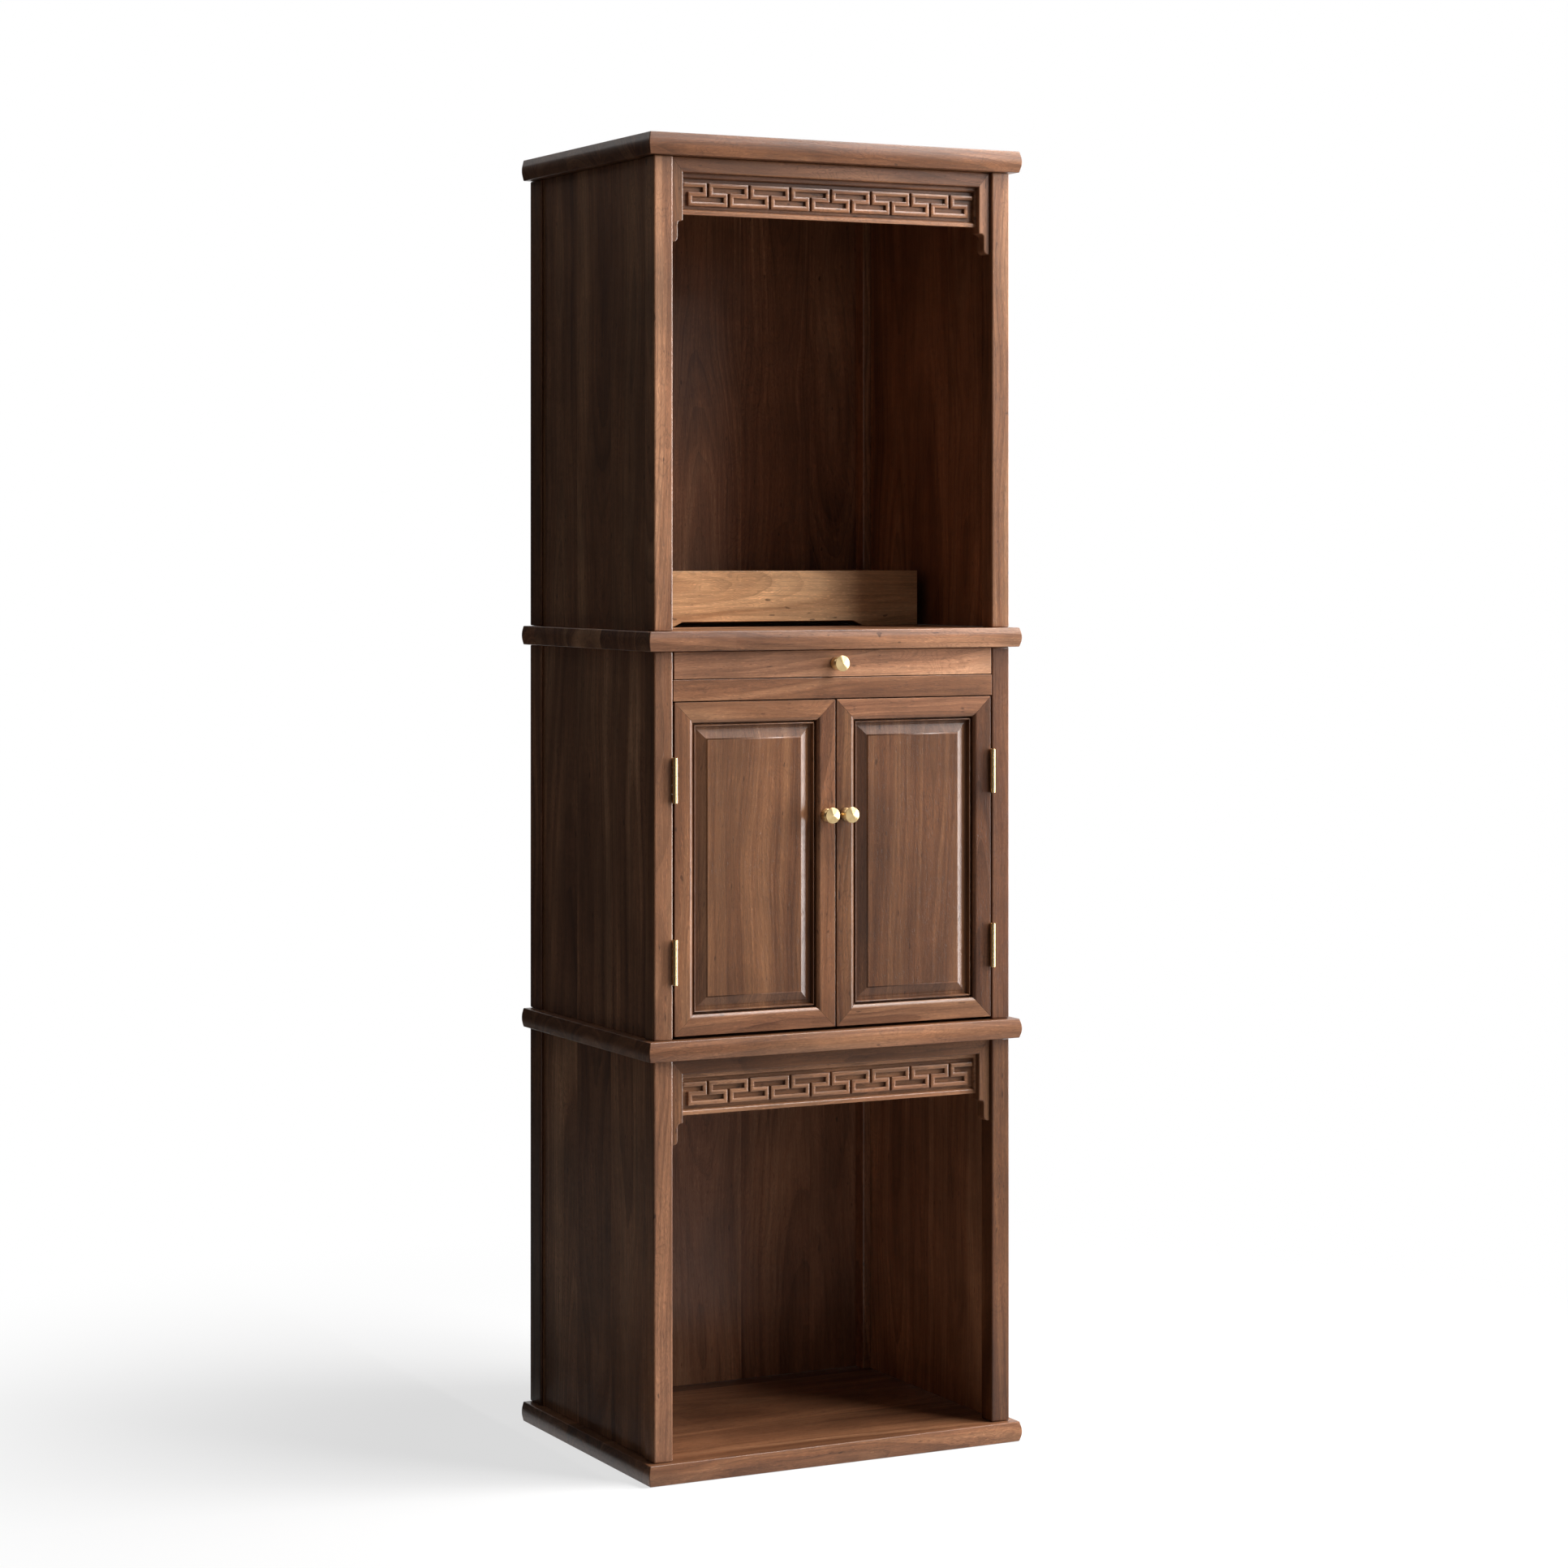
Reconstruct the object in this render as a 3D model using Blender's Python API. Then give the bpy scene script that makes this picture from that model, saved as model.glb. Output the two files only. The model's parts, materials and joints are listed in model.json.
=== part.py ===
"""Tall walnut shrine cabinet: open niche, tray and doors, open base compartment.

Metres, +Z up. The front faces -Y and +X is to the right of someone who faces it.
The origin is on the floor, midway between the side ridges and midway between
the front ridge and the flush rear.
"""

import math

import bmesh
import bpy
from mathutils import Vector

# Overall sizes
WIDTH = 0.600
DEPTH = 0.450
BASE_T = 0.029
WAIST_T = 0.028
CORNICE_T = 0.031
LOWER_H = 0.559
MIDDLE_H = 0.542
UPPER_H = 0.663

# Slab edges: the ridge stands out past the arrises, the slab past the posts
RIDGE = 0.004
OVERHANG = 0.014

# Posts, with a square stub tenon at each end
POST_W = 0.029
FRONT_POST_D = 0.032
REAR_POST_D = 0.040
TENON_W = 0.012
TENON_L = 0.008

# Side and back panels in the posts' grooves
PANEL_T = 0.010
PANEL_RECESS = 0.0045
GROOVE_D = 0.006

# Aprons: rail and stiles in front, carved fret panel set back between them
APRON_SETBACK = 0.006
APRON_T = 0.020
APRON_RAIL_H = 0.022
APRON_STILE_W = 0.0185
APRON_STILE_H = 0.120
APRON_STEP_DROP = 0.010
APRON_STEP_W = 0.008
APRON_STEP_R = 0.005
APRON_TIP_W = 0.003
APRON_TIP_R = 0.0075
APRON_TIP_TURN = 60
FRET_PANEL_H = 0.058
FRET_PANEL_T = 0.008
FRET_PANEL_SETBACK = 0.009
FRET_BORDER_W = 0.005
FRET_BORDER_H = 0.0085
FRET_POCKET = 0.004
FRET_RELIEF = 0.003
FRET_BEAD_W = 0.006
FRET_HALF_RISE = 0.0133
FRET_LONG = 0.05525
FRET_BACK = 0.02275

# Tray, its shelf and the rail that shows under it
RAIL_H = 0.030
RAIL_T = 0.022
RAIL_TENON_H = 0.016
DUST_BOARD_T = 0.012
TRAY_OPENING_H = 0.040
TRAY_FRONT_T = 0.018
TRAY_BOARD_T = 0.016
TRAY_BOARD_L = 0.350
TRAY_RABBET = 0.008
TRAY_SIDE_GAP = 0.0015
TRAY_EDGE_GAP = 0.001

# Doors: mitred frames round raised panels
DOOR_T = 0.018
DOOR_FRAME_W = 0.029
DOOR_TOP_GAP = 0.0015
DOOR_BOTTOM_GAP = 0.0045
DOOR_SEAM = 0.0022
DOOR_PANEL_T = 0.012
DOOR_PANEL_SETBACK = 0.0025
DOOR_TONGUE_T = 0.005
DOOR_TONGUE_L = 0.007
DOOR_BEVEL_W = 0.024
DOOR_FIELD_STEP = 0.0015

# Hinges: thin leaves in the gap between door and post, barrel in front of it
LEAF_T = 0.0008
LEAF_D = 0.015
BARREL_R = 0.0038
PIN_R = 0.0015
HINGE_H = 0.0635
HINGE_FROM_BOTTOM = 0.104
HINGE_FROM_TOP = 0.1085
KNUCKLES = 5

# Knobs: bell-shaped base, neck and a slightly conical cap
KNOB_R = 0.0114
KNOB_FLANGE_R = 0.0092
KNOB_FLANGE_T = 0.0015
KNOB_BELL_L = 0.008
KNOB_NECK_R = 0.0055
KNOB_FLARE_L = 0.004
KNOB_RIM_T = 0.0022
KNOB_CONE_L = 0.0024
KNOB_L = 0.0225
KNOB_STUD_R = 0.002
KNOB_STUD_L = 0.010
DOOR_KNOB_Z = 0.302

# Riser that stands loose in the niche
RISER_D = 0.188
RISER_H = 0.082
RISER_T = 0.015
RISER_RABBET = 0.007
RISER_SIDE_GAP = 0.007
RISER_REAR_GAP = 0.0225
RISER_FOOT_W = 0.093
RISER_CUTOUT_H = 0.0075
RISER_CUTOUT_SLOPE = 0.016

# Clearances and roundness
GAP = 0.0003
OVERCUT = 0.002
WELD = 0.00003
TURN_STEPS = 24
BARREL_STEPS = 16
ARC_STEPS = 5
SMOOTH_ANGLE = 40

# Levels worked out from the sizes above
LOWER_Z = BASE_T
LOWER_WAIST_Z = LOWER_Z + LOWER_H
MIDDLE_Z = LOWER_WAIST_Z + WAIST_T
UPPER_WAIST_Z = MIDDLE_Z + MIDDLE_H
UPPER_Z = UPPER_WAIST_Z + WAIST_T
CORNICE_Z = UPPER_Z + UPPER_H
RAIL_TOP_Z = UPPER_WAIST_Z - TRAY_OPENING_H
RAIL_Z = RAIL_TOP_Z - RAIL_H

# Faces worked out from the sizes above
POST_OUT_X = WIDTH / 2 - OVERHANG
POST_IN_X = POST_OUT_X - POST_W
FRONT_Y = -DEPTH / 2 + OVERHANG
FRONT_POST_BACK_Y = FRONT_Y + FRONT_POST_D
REAR_Y = DEPTH / 2
REAR_POST_FRONT_Y = REAR_Y - REAR_POST_D
SIDE_OUT_X = POST_OUT_X - PANEL_RECESS
SIDE_IN_X = SIDE_OUT_X - PANEL_T
BACK_OUT_Y = REAR_Y - PANEL_RECESS
BACK_IN_Y = BACK_OUT_Y - PANEL_T

# The hinge gap holds both leaves, each clear of its neighbours
HINGE_GAP = 2 * LEAF_T + 3 * GAP
HINGE_X = POST_IN_X - HINGE_GAP / 2
HINGE_Y = FRONT_Y - BARREL_R - GAP
DOOR_Z = MIDDLE_Z + DOOR_BOTTOM_GAP
DOOR_H = RAIL_Z - DOOR_TOP_GAP - DOOR_Z
DOOR_W = POST_IN_X - HINGE_GAP - DOOR_SEAM / 2

WALNUT = ((0.118, 0.058, 0.032), 0.42, 0.0)
RISER_WALNUT = ((0.205, 0.112, 0.058), 0.45, 0.0)
BRASS = ((0.78, 0.57, 0.27), 0.25, 1.0)

# Where the outline's u and v and the extrusion's w lie for each axis
PLACES = {
    "X": lambda u, v, w: (w, u, v),
    "Y": lambda u, v, w: (u, w, v),
    "Z": lambda u, v, w: (u, v, w),
}


def clear_scene():
    """Remove every object, so that only the cabinet is left."""
    for thing in list(bpy.data.objects):
        bpy.data.objects.remove(thing, do_unlink=True)


def add_box(bm, low, high):
    """Add a box between two opposite corners."""
    verts = bmesh.ops.create_cube(bm, size=1.0)["verts"]
    low = Vector(low)
    high = Vector(high)
    bmesh.ops.scale(bm, vec=high - low, verts=verts)
    bmesh.ops.translate(bm, vec=(low + high) / 2, verts=verts)


def add_prism(bm, outline, axis, start, end):
    """Extrude a closed outline of (u, v) points along an axis."""
    place = PLACES[axis]
    face = bm.faces.new([bm.verts.new(place(u, v, start)) for u, v in outline])
    made = bmesh.ops.extrude_face_region(bm, geom=[face])["geom"]
    moved = [item for item in made if isinstance(item, bmesh.types.BMVert)]
    bmesh.ops.translate(bm, vec=place(0, 0, end - start), verts=moved)
    bmesh.ops.recalc_face_normals(bm, faces=bm.faces)


def add_cylinder(bm, radius, start, end, steps):
    """Add a closed cylinder on the Z axis between two heights."""
    outline = [arc_point(0, 0, radius, 360 * step / steps) for step in range(steps)]
    add_prism(bm, outline, "Z", start, end)


def arc_point(u, v, radius, degrees):
    """Give a point on a circle."""
    turn = math.radians(degrees)
    return (u + radius * math.cos(turn), v + radius * math.sin(turn))


def arc(u, v, radius, start, end):
    """Give the points of an arc, from one angle to another in degrees."""
    turns = [start + (end - start) * step / ARC_STEPS for step in range(ARC_STEPS + 1)]
    return [arc_point(u, v, radius, turn) for turn in turns]


def to_object(name, bm, parent):
    """Turn a bmesh into a linked object under its parent."""
    mesh = bpy.data.meshes.new(name)
    bm.to_mesh(mesh)
    bm.free()
    thing = bpy.data.objects.new(name, mesh)
    bpy.context.scene.collection.objects.link(thing)
    thing.parent = parent
    return thing


def make(name, bm, finish, parent=None):
    """Make a named sub-part with a material of its own."""
    piece = to_object(name, bm, parent)
    colour, roughness, metallic = finish
    material = bpy.data.materials.new(name + "_finish")
    material.use_nodes = True
    shader = material.node_tree.nodes["Principled BSDF"]
    shader.inputs["Base Color"].default_value = (*colour, 1.0)
    shader.inputs["Roughness"].default_value = roughness
    shader.inputs["Metallic"].default_value = metallic
    piece.data.materials.append(material)
    return piece


def make_tool(name, bm, parent=None):
    """Make a hidden shape that only cuts or joins."""
    tool = to_object(name, bm, parent)
    tool.hide_render = True
    tool.display_type = "WIRE"
    return tool


def combine(piece, tool, operation):
    """Join a tool to a piece or cut it out of it."""
    modifier = piece.modifiers.new(tool.name, "BOOLEAN")
    modifier.operation = operation
    modifier.solver = "EXACT"
    modifier.object = tool


def make_pivot(name, place):
    """Make the empty that carries a moving body, on its joint's axis."""
    pivot = bpy.data.objects.new(name, None)
    bpy.context.scene.collection.objects.link(pivot)
    pivot.location = place
    return pivot


def sides():
    """Give the two sides as a name and a sign of X."""
    return (("left", -1), ("right", 1))


def tenon_centre(front, sign):
    """Give the middle of a post's solid part, beside its grooves."""
    if front:
        return sign * (POST_IN_X + POST_OUT_X) / 2, (FRONT_Y + FRONT_POST_BACK_Y - GROOVE_D) / 2
    x = sign * (POST_IN_X + GROOVE_D + POST_OUT_X) / 2
    return x, (REAR_POST_FRONT_Y + GROOVE_D + REAR_Y) / 2


def stages():
    """Give each stage's name with its lowest and highest level."""
    return (
        ("lower", LOWER_Z, LOWER_WAIST_Z),
        ("middle", MIDDLE_Z, UPPER_WAIST_Z),
        ("upper", UPPER_Z, CORNICE_Z),
    )


def post_spots():
    """Give the place, sign and front flag of the four posts of a stage."""
    spots = []
    for place, front in (("front", True), ("rear", False)):
        for side, sign in sides():
            spots.append((place + "_" + side, front, sign))
    return spots


def add_ring(bm, inset, z):
    """Add one rectangle of a slab, flush at the rear, as a closed ring."""
    x = WIDTH / 2 - inset
    y = -DEPTH / 2 + inset
    corners = ((-x, y), (x, y), (x, REAR_Y), (-x, REAR_Y))
    verts = [bm.verts.new((u, v, z)) for u, v in corners]
    return [bm.edges.new((verts[i - 1], verts[i])) for i in range(len(verts))]


def make_slab(name, z, thickness, tenons_below, tenons_above):
    """Make a slab with a ridge along its front and sides and mortises for the posts."""
    bm = bmesh.new()
    levels = ((RIDGE, z), (0, z + thickness / 2), (RIDGE, z + thickness))
    rings = [add_ring(bm, inset, level) for inset, level in levels]
    for lower, upper in zip(rings, rings[1:]):
        bmesh.ops.bridge_loops(bm, edges=lower + upper)
    for ring in (rings[0], rings[-1]):
        bmesh.ops.contextual_create(bm, geom=ring)
    bmesh.ops.recalc_face_normals(bm, faces=bm.faces)
    slab = make(name, bm, WALNUT)
    cuts = bmesh.new()
    reach = TENON_W / 2 + GAP
    sink = TENON_L + 2 * GAP
    for _, front, sign in post_spots():
        x, y = tenon_centre(front, sign)
        if tenons_below:
            add_box(cuts, (x - reach, y - reach, z - OVERCUT), (x + reach, y + reach, z + sink))
        if tenons_above:
            top = z + thickness
            add_box(cuts, (x - reach, y - reach, top - sink), (x + reach, y + reach, top + OVERCUT))
    combine(slab, make_tool(name + "_mortises", cuts), "DIFFERENCE")


def post_outline(front, sign):
    """Give a post's section with its grooves, as drawn for the right side."""
    x0, x1 = POST_IN_X, POST_OUT_X
    gx0, gx1 = SIDE_IN_X - GAP, SIDE_OUT_X + GAP
    if front:
        y0, y1 = FRONT_Y, FRONT_POST_BACK_Y
        bed = y1 - GROOVE_D
        points = [(x0, y0), (x1, y0), (x1, y1), (gx1, y1), (gx1, bed), (gx0, bed), (gx0, y1), (x0, y1)]
    else:
        y0, y1 = REAR_POST_FRONT_Y, REAR_Y
        bed = y0 + GROOVE_D
        gy0, gy1 = BACK_IN_Y - GAP, BACK_OUT_Y + GAP
        side_groove = [(gx0, y0), (gx0, bed), (gx1, bed), (gx1, y0)]
        back_groove = [(x0, gy1), (x0 + GROOVE_D, gy1), (x0 + GROOVE_D, gy0), (x0, gy0)]
        points = [(x0, y0)] + side_groove + [(x1, y0), (x1, y1), (x0, y1)] + back_groove
    return [(sign * x, y) for x, y in points]


def make_post(name, front, sign, low, high):
    """Make a grooved post between two slabs, with a stub tenon at each end."""
    bm = bmesh.new()
    add_prism(bm, post_outline(front, sign), "Z", low + GAP, high - GAP)
    post = make(name, bm, WALNUT)
    x, y = tenon_centre(front, sign)
    half = TENON_W / 2
    tenons = bmesh.new()
    add_box(tenons, (x - half, y - half, low - TENON_L), (x + half, y + half, low + TENON_L))
    add_box(tenons, (x - half, y - half, high - TENON_L), (x + half, y + half, high + TENON_L))
    combine(post, make_tool(name + "_tenons", tenons), "UNION")
    return post


def make_carcass():
    """Make the slabs, posts, side panels and back panels."""
    make_slab("base_slab", 0, BASE_T, False, True)
    make_slab("lower_waist_slab", LOWER_WAIST_Z, WAIST_T, True, True)
    make_slab("upper_waist_slab", UPPER_WAIST_Z, WAIST_T, True, True)
    make_slab("cornice_slab", CORNICE_Z, CORNICE_T, True, False)
    rail_mortises = make_rail_mortises()
    panel_y0 = FRONT_POST_BACK_Y - GROOVE_D + GAP
    panel_y1 = REAR_POST_FRONT_Y + GROOVE_D - GAP
    back_x = POST_IN_X + GROOVE_D - GAP
    for stage, low, high in stages():
        for spot, front, sign in post_spots():
            post = make_post(stage + "_" + spot + "_post", front, sign, low, high)
            if front and stage == "middle":
                combine(post, rail_mortises, "DIFFERENCE")
        for side, sign in sides():
            bm = bmesh.new()
            xs = sorted((sign * SIDE_IN_X, sign * SIDE_OUT_X))
            add_box(bm, (xs[0], panel_y0, low + GAP), (xs[1], panel_y1, high - GAP))
            make(stage + "_" + side + "_side_panel", bm, WALNUT)
        bm = bmesh.new()
        add_box(bm, (-back_x, BACK_IN_Y, low + GAP), (back_x, BACK_OUT_Y, high - GAP))
        make(stage + "_back_panel", bm, WALNUT)


def rail_tenon_box(grow):
    """Give the corners of the bar that runs through both stub tenons of the rail."""
    middle_y = FRONT_Y + RAIL_T / 2
    middle_z = (RAIL_Z + RAIL_TOP_Z) / 2
    x = POST_IN_X + TENON_L + grow
    half_y = TENON_W / 2 + grow
    half_z = RAIL_TENON_H / 2 + grow
    low = (-x, middle_y - half_y, middle_z - half_z)
    return low, (x, middle_y + half_y, middle_z + half_z)


def make_rail_mortises():
    """Make the cutter for the rail's mortises in the middle front posts."""
    cuts = bmesh.new()
    add_box(cuts, *rail_tenon_box(GAP))
    return make_tool("rail_mortises", cuts)


def make_tray_shelf():
    """Make the rail under the tray with its dust board and its stub tenons."""
    rail_x = POST_IN_X - GAP
    board_x = SIDE_IN_X - GAP
    rail_back = FRONT_Y + RAIL_T
    board_y0 = FRONT_POST_BACK_Y + GAP
    board_y1 = REAR_POST_FRONT_Y - GAP
    board_z = RAIL_TOP_Z - DUST_BOARD_T
    front_half = [(rail_x, rail_back), (rail_x, board_y0), (board_x, board_y0), (board_x, board_y1)]
    outline = front_half + [(-x, y) for x, y in reversed(front_half)]
    bm = bmesh.new()
    add_prism(bm, outline, "Z", board_z, RAIL_TOP_Z)
    shelf = make("tray_shelf", bm, WALNUT)
    rail = bmesh.new()
    add_box(rail, (-rail_x, FRONT_Y, RAIL_Z), (rail_x, rail_back + OVERCUT, RAIL_TOP_Z))
    combine(shelf, make_tool("tray_shelf_rail", rail), "UNION")
    tenons = bmesh.new()
    add_box(tenons, *rail_tenon_box(0))
    combine(shelf, make_tool("tray_shelf_tenons", tenons), "UNION")


def stile_outline(top):
    """Give a left apron stile's front outline, with a stepped and curved lower end."""
    outer = -POST_IN_X + GAP
    inner = -POST_IN_X + APRON_STILE_W
    step_z = top - APRON_RAIL_H - FRET_PANEL_H - APRON_STEP_DROP
    neck = inner - APRON_STEP_W
    tip_z = top - APRON_STILE_H
    tip = outer + APRON_TIP_W
    points = [(outer, top - GAP), (outer, tip_z), (tip, tip_z)]
    points += arc(neck - APRON_TIP_R, tip_z + APRON_TIP_R, APRON_TIP_R, -APRON_TIP_TURN, 0)
    points += arc(neck + APRON_STEP_R, step_z - APRON_STEP_R, APRON_STEP_R, 180, 90)
    points += [(inner, step_z), (inner, top - APRON_RAIL_H - GAP)]
    return points


def fret_levels(base):
    """Give the meander's bottom, middle and top levels."""
    middle = base + FRET_PANEL_H / 2
    return middle - FRET_HALF_RISE, middle, middle + FRET_HALF_RISE


def fret_path(base, reach):
    """Give the meander's corner points from border to border, with as many turns as fit."""
    bottom, middle, top = fret_levels(base)
    advance = FRET_LONG - FRET_BACK
    pitch = 2 * advance
    room = 2 * (reach - FRET_BORDER_W / 2 - FRET_BEAD_W)
    turns = math.floor((room - FRET_LONG) / pitch) + 1
    x = FRET_BACK - (pitch * (turns - 1) + FRET_LONG) / 2
    points = [(-reach, top)]
    for _ in range(turns):
        points += [(x, top), (x, middle), (x - FRET_BACK, middle), (x - FRET_BACK, bottom)]
        x += advance
        points += [(x, bottom), (x, middle), (x - FRET_BACK, middle), (x - FRET_BACK, top)]
        x += advance
    points.append((reach, top))
    return points


def ribbon(path, width):
    """Give the outline of a band that follows a path of right-angled turns."""
    half = width / 2
    left = []
    right = []
    for i, point in enumerate(path):
        here = Vector(point)
        before = (here - Vector(path[i - 1])).normalized() if i else None
        after = (Vector(path[i + 1]) - here).normalized() if i + 1 < len(path) else None
        turns = [step for step in (before, after) if step]
        offset = sum((Vector((-step.y, step.x)) for step in turns), Vector((0, 0))) * half
        left.append(here + offset)
        right.append(here - offset)
    return [tuple(point) for point in left + right[::-1]]


def make_apron(stage, top):
    """Make a U-shaped apron frame under a slab, with its carved fret panel."""
    front = FRONT_Y + APRON_SETBACK
    back = front + APRON_T
    outer = POST_IN_X - 2 * GAP
    inner = POST_IN_X - APRON_STILE_W
    rail_z = top - APRON_RAIL_H
    panel_z = rail_z - FRET_PANEL_H
    panel_y0 = front + FRET_PANEL_SETBACK
    panel_y1 = panel_y0 + FRET_PANEL_T
    tongue_x = inner + GROOVE_D
    tongue_z = rail_z + GROOVE_D
    groove = bmesh.new()
    low = (-tongue_x - GAP, panel_y0 - GAP, panel_z - GAP)
    add_box(groove, low, (tongue_x + GAP, panel_y1 + GAP, tongue_z + GAP))
    groove = make_tool(stage + "_apron_groove", groove)
    rail = bmesh.new()
    rail_outline = [(-outer, top - GAP), (outer, top - GAP), (inner - GAP, rail_z), (GAP - inner, rail_z)]
    add_prism(rail, rail_outline, "Y", front, back)
    combine(make(stage + "_apron_rail", rail, WALNUT), groove, "DIFFERENCE")
    for side, sign in sides():
        bm = bmesh.new()
        add_prism(bm, [(-sign * x, z) for x, z in stile_outline(top)], "Y", front, back)
        combine(make(stage + "_apron_" + side + "_stile", bm, WALNUT), groove, "DIFFERENCE")
    make_fret_panel(stage, (tongue_x, panel_y0, panel_y1, panel_z, tongue_z), inner, rail_z)


def make_fret_panel(stage, plate, inner, rail_z):
    """Make the carved panel: a plate with a sunk ground and a raised meander."""
    tongue_x, y0, y1, z0, z1 = plate
    bm = bmesh.new()
    add_box(bm, (-tongue_x, y0, z0), (tongue_x, y1, z1))
    panel = make(stage + "_fret_panel", bm, WALNUT)
    ground_y = y0 + FRET_POCKET
    pocket_x = inner - FRET_BORDER_W
    pocket = bmesh.new()
    low = (-pocket_x, y0 - OVERCUT, z0 + FRET_BORDER_H)
    add_box(pocket, low, (pocket_x, ground_y, rail_z - FRET_BORDER_H))
    combine(panel, make_tool(stage + "_fret_pocket", pocket), "DIFFERENCE")
    meander = bmesh.new()
    path = fret_path(z0, inner - FRET_BORDER_W / 2)
    add_prism(meander, ribbon(path, FRET_BEAD_W), "Y", ground_y - FRET_RELIEF, ground_y + OVERCUT)
    combine(panel, make_tool(stage + "_fret_meander", meander), "UNION")


def make_tray():
    """Make the pull-out offering tray: a front with a knob and a board behind it."""
    pivot = make_pivot("tray_pull", (0, FRONT_Y, RAIL_TOP_Z))
    half = POST_IN_X - TRAY_SIDE_GAP
    top = TRAY_OPENING_H - TRAY_EDGE_GAP
    bed = TRAY_FRONT_T - TRAY_RABBET
    board_top = GAP + TRAY_BOARD_T
    low_edge = TRAY_EDGE_GAP
    shelf_z = board_top + GAP
    outline = [(0, low_edge), (bed, low_edge), (bed, shelf_z), (TRAY_FRONT_T, shelf_z)]
    outline += [(TRAY_FRONT_T, top), (0, top)]
    bm = bmesh.new()
    add_prism(bm, outline, "X", -half, half)
    front = make("tray_front", bm, WALNUT, pivot)
    knob_z = (low_edge + top) / 2
    make_knob("tray_knob", front, (0, 0, knob_z), pivot)
    bm = bmesh.new()
    add_box(bm, (-half, bed + GAP, GAP), (half, bed + TRAY_BOARD_L, board_top))
    make("tray_board", bm, WALNUT, pivot)


def knob_profile():
    """Give the knob's half outline as radius and distance out of the face, stud first."""
    points = [(0, -KNOB_STUD_L), (KNOB_STUD_R, -KNOB_STUD_L), (KNOB_STUD_R, GAP), (KNOB_FLANGE_R, GAP)]
    swell = KNOB_FLANGE_R - KNOB_NECK_R
    for step in range(ARC_STEPS + 1):
        turn = math.radians(90 * step / ARC_STEPS)
        radius = KNOB_NECK_R + swell * math.cos(turn)
        points.append((radius, KNOB_FLANGE_T + KNOB_BELL_L * math.sin(turn)))
    rim_top = KNOB_L - KNOB_CONE_L
    rim_low = rim_top - KNOB_RIM_T
    points += [(KNOB_NECK_R, rim_low - KNOB_FLARE_L), (KNOB_R, rim_low), (KNOB_R, rim_top)]
    return points + [(0, KNOB_L)]


def make_knob(name, carrier, place, parent):
    """Turn a brass knob that stands out of the front and screws into its carrier."""
    x, y, z = place
    bm = bmesh.new()
    verts = [bm.verts.new((x + radius, y - out, z)) for radius, out in knob_profile()]
    edges = [bm.edges.new(pair) for pair in zip(verts, verts[1:])]
    bmesh.ops.spin(
        bm, geom=verts + edges, cent=place, axis=(0, 1, 0), angle=math.tau, steps=TURN_STEPS, use_merge=True
    )
    bmesh.ops.remove_doubles(bm, verts=bm.verts, dist=WELD)
    bmesh.ops.recalc_face_normals(bm, faces=bm.faces)
    knob = make(name, bm, BRASS, parent)
    knob.data.shade_smooth()
    knob.data.set_sharp_from_angle(angle=math.radians(SMOOTH_ANGLE))
    hole = bmesh.new()
    steps = range(TURN_STEPS)
    outline = [arc_point(x, z, KNOB_STUD_R + GAP, 360 * step / TURN_STEPS) for step in steps]
    add_prism(hole, outline, "Y", y - OVERCUT, y + KNOB_STUD_L + GAP)
    combine(carrier, make_tool(name + "_hole", hole, parent), "DIFFERENCE")


def make_door(side, sign):
    """Make a door on its hinges; it is drawn from the hinge axis towards the meeting edge."""
    pivot = make_pivot(side + "_door_pivot", (sign * HINGE_X, HINGE_Y, DOOR_Z))
    near = HINGE_GAP / 2
    far = near + DOOR_W
    front = BARREL_R + GAP
    back = front + DOOR_T
    frame = DOOR_FRAME_W
    half_gap = GAP / 2
    corners = rectangle((near, 0), (far, DOOR_H), 0)
    inside = rectangle((near, 0), (far, DOOR_H), frame)
    slips = [(half_gap, 0), (0, half_gap), (-half_gap, 0), (0, -half_gap)]
    names = ("bottom_rail", "meeting_stile", "top_rail", "hinge_stile")
    tongue = DOOR_TONGUE_L
    panel_front = front + DOOR_PANEL_SETBACK
    panel_back = panel_front + DOOR_PANEL_T
    tongue_y0 = panel_back - DOOR_TONGUE_T
    groove_low = (near + frame - tongue - GAP, tongue_y0 - GAP, frame - tongue - GAP)
    groove_high = (far - frame + tongue + GAP, panel_back + GAP, DOOR_H - frame + tongue + GAP)
    groove = bmesh.new()
    add_box(groove, *mirror_box(groove_low, groove_high, sign))
    groove = make_tool(side + "_door_groove", groove, pivot)
    members = {}
    for i, name in enumerate(names):
        j = (i + 1) % len(names)
        du, dv = slips[i]
        outline = [(corners[i][0] + du, corners[i][1] + dv), (corners[j][0] - du, corners[j][1] - dv)]
        outline += [(inside[j][0] - du, inside[j][1] - dv), (inside[i][0] + du, inside[i][1] + dv)]
        bm = bmesh.new()
        add_prism(bm, [(-sign * u, v) for u, v in outline], "Y", front, back)
        members[name] = make(side + "_door_" + name, bm, WALNUT, pivot)
        combine(members[name], groove, "DIFFERENCE")
    make_door_panel(side, sign, pivot, (inside[0], inside[2]), (panel_front, tongue_y0, panel_back))
    knob_place = (-sign * (far - frame / 2), front, DOOR_KNOB_Z)
    make_knob(side + "_door_knob", members["meeting_stile"], knob_place, pivot)
    make_hinges(side, sign, pivot)


def mirror_box(low, high, sign):
    """Give a box's corners for the left door (as drawn) or mirrored for the right one."""
    if sign < 0:
        return low, high
    return (-high[0], low[1], low[2]), (-low[0], high[1], high[2])


def rectangle(low, high, inset):
    """Give the corners of a rectangle, each drawn in by an inset."""
    u0, v0 = low[0] + inset, low[1] + inset
    u1, v1 = high[0] - inset, high[1] - inset
    return [(u0, v0), (u1, v0), (u1, v1), (u0, v1)]


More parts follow.
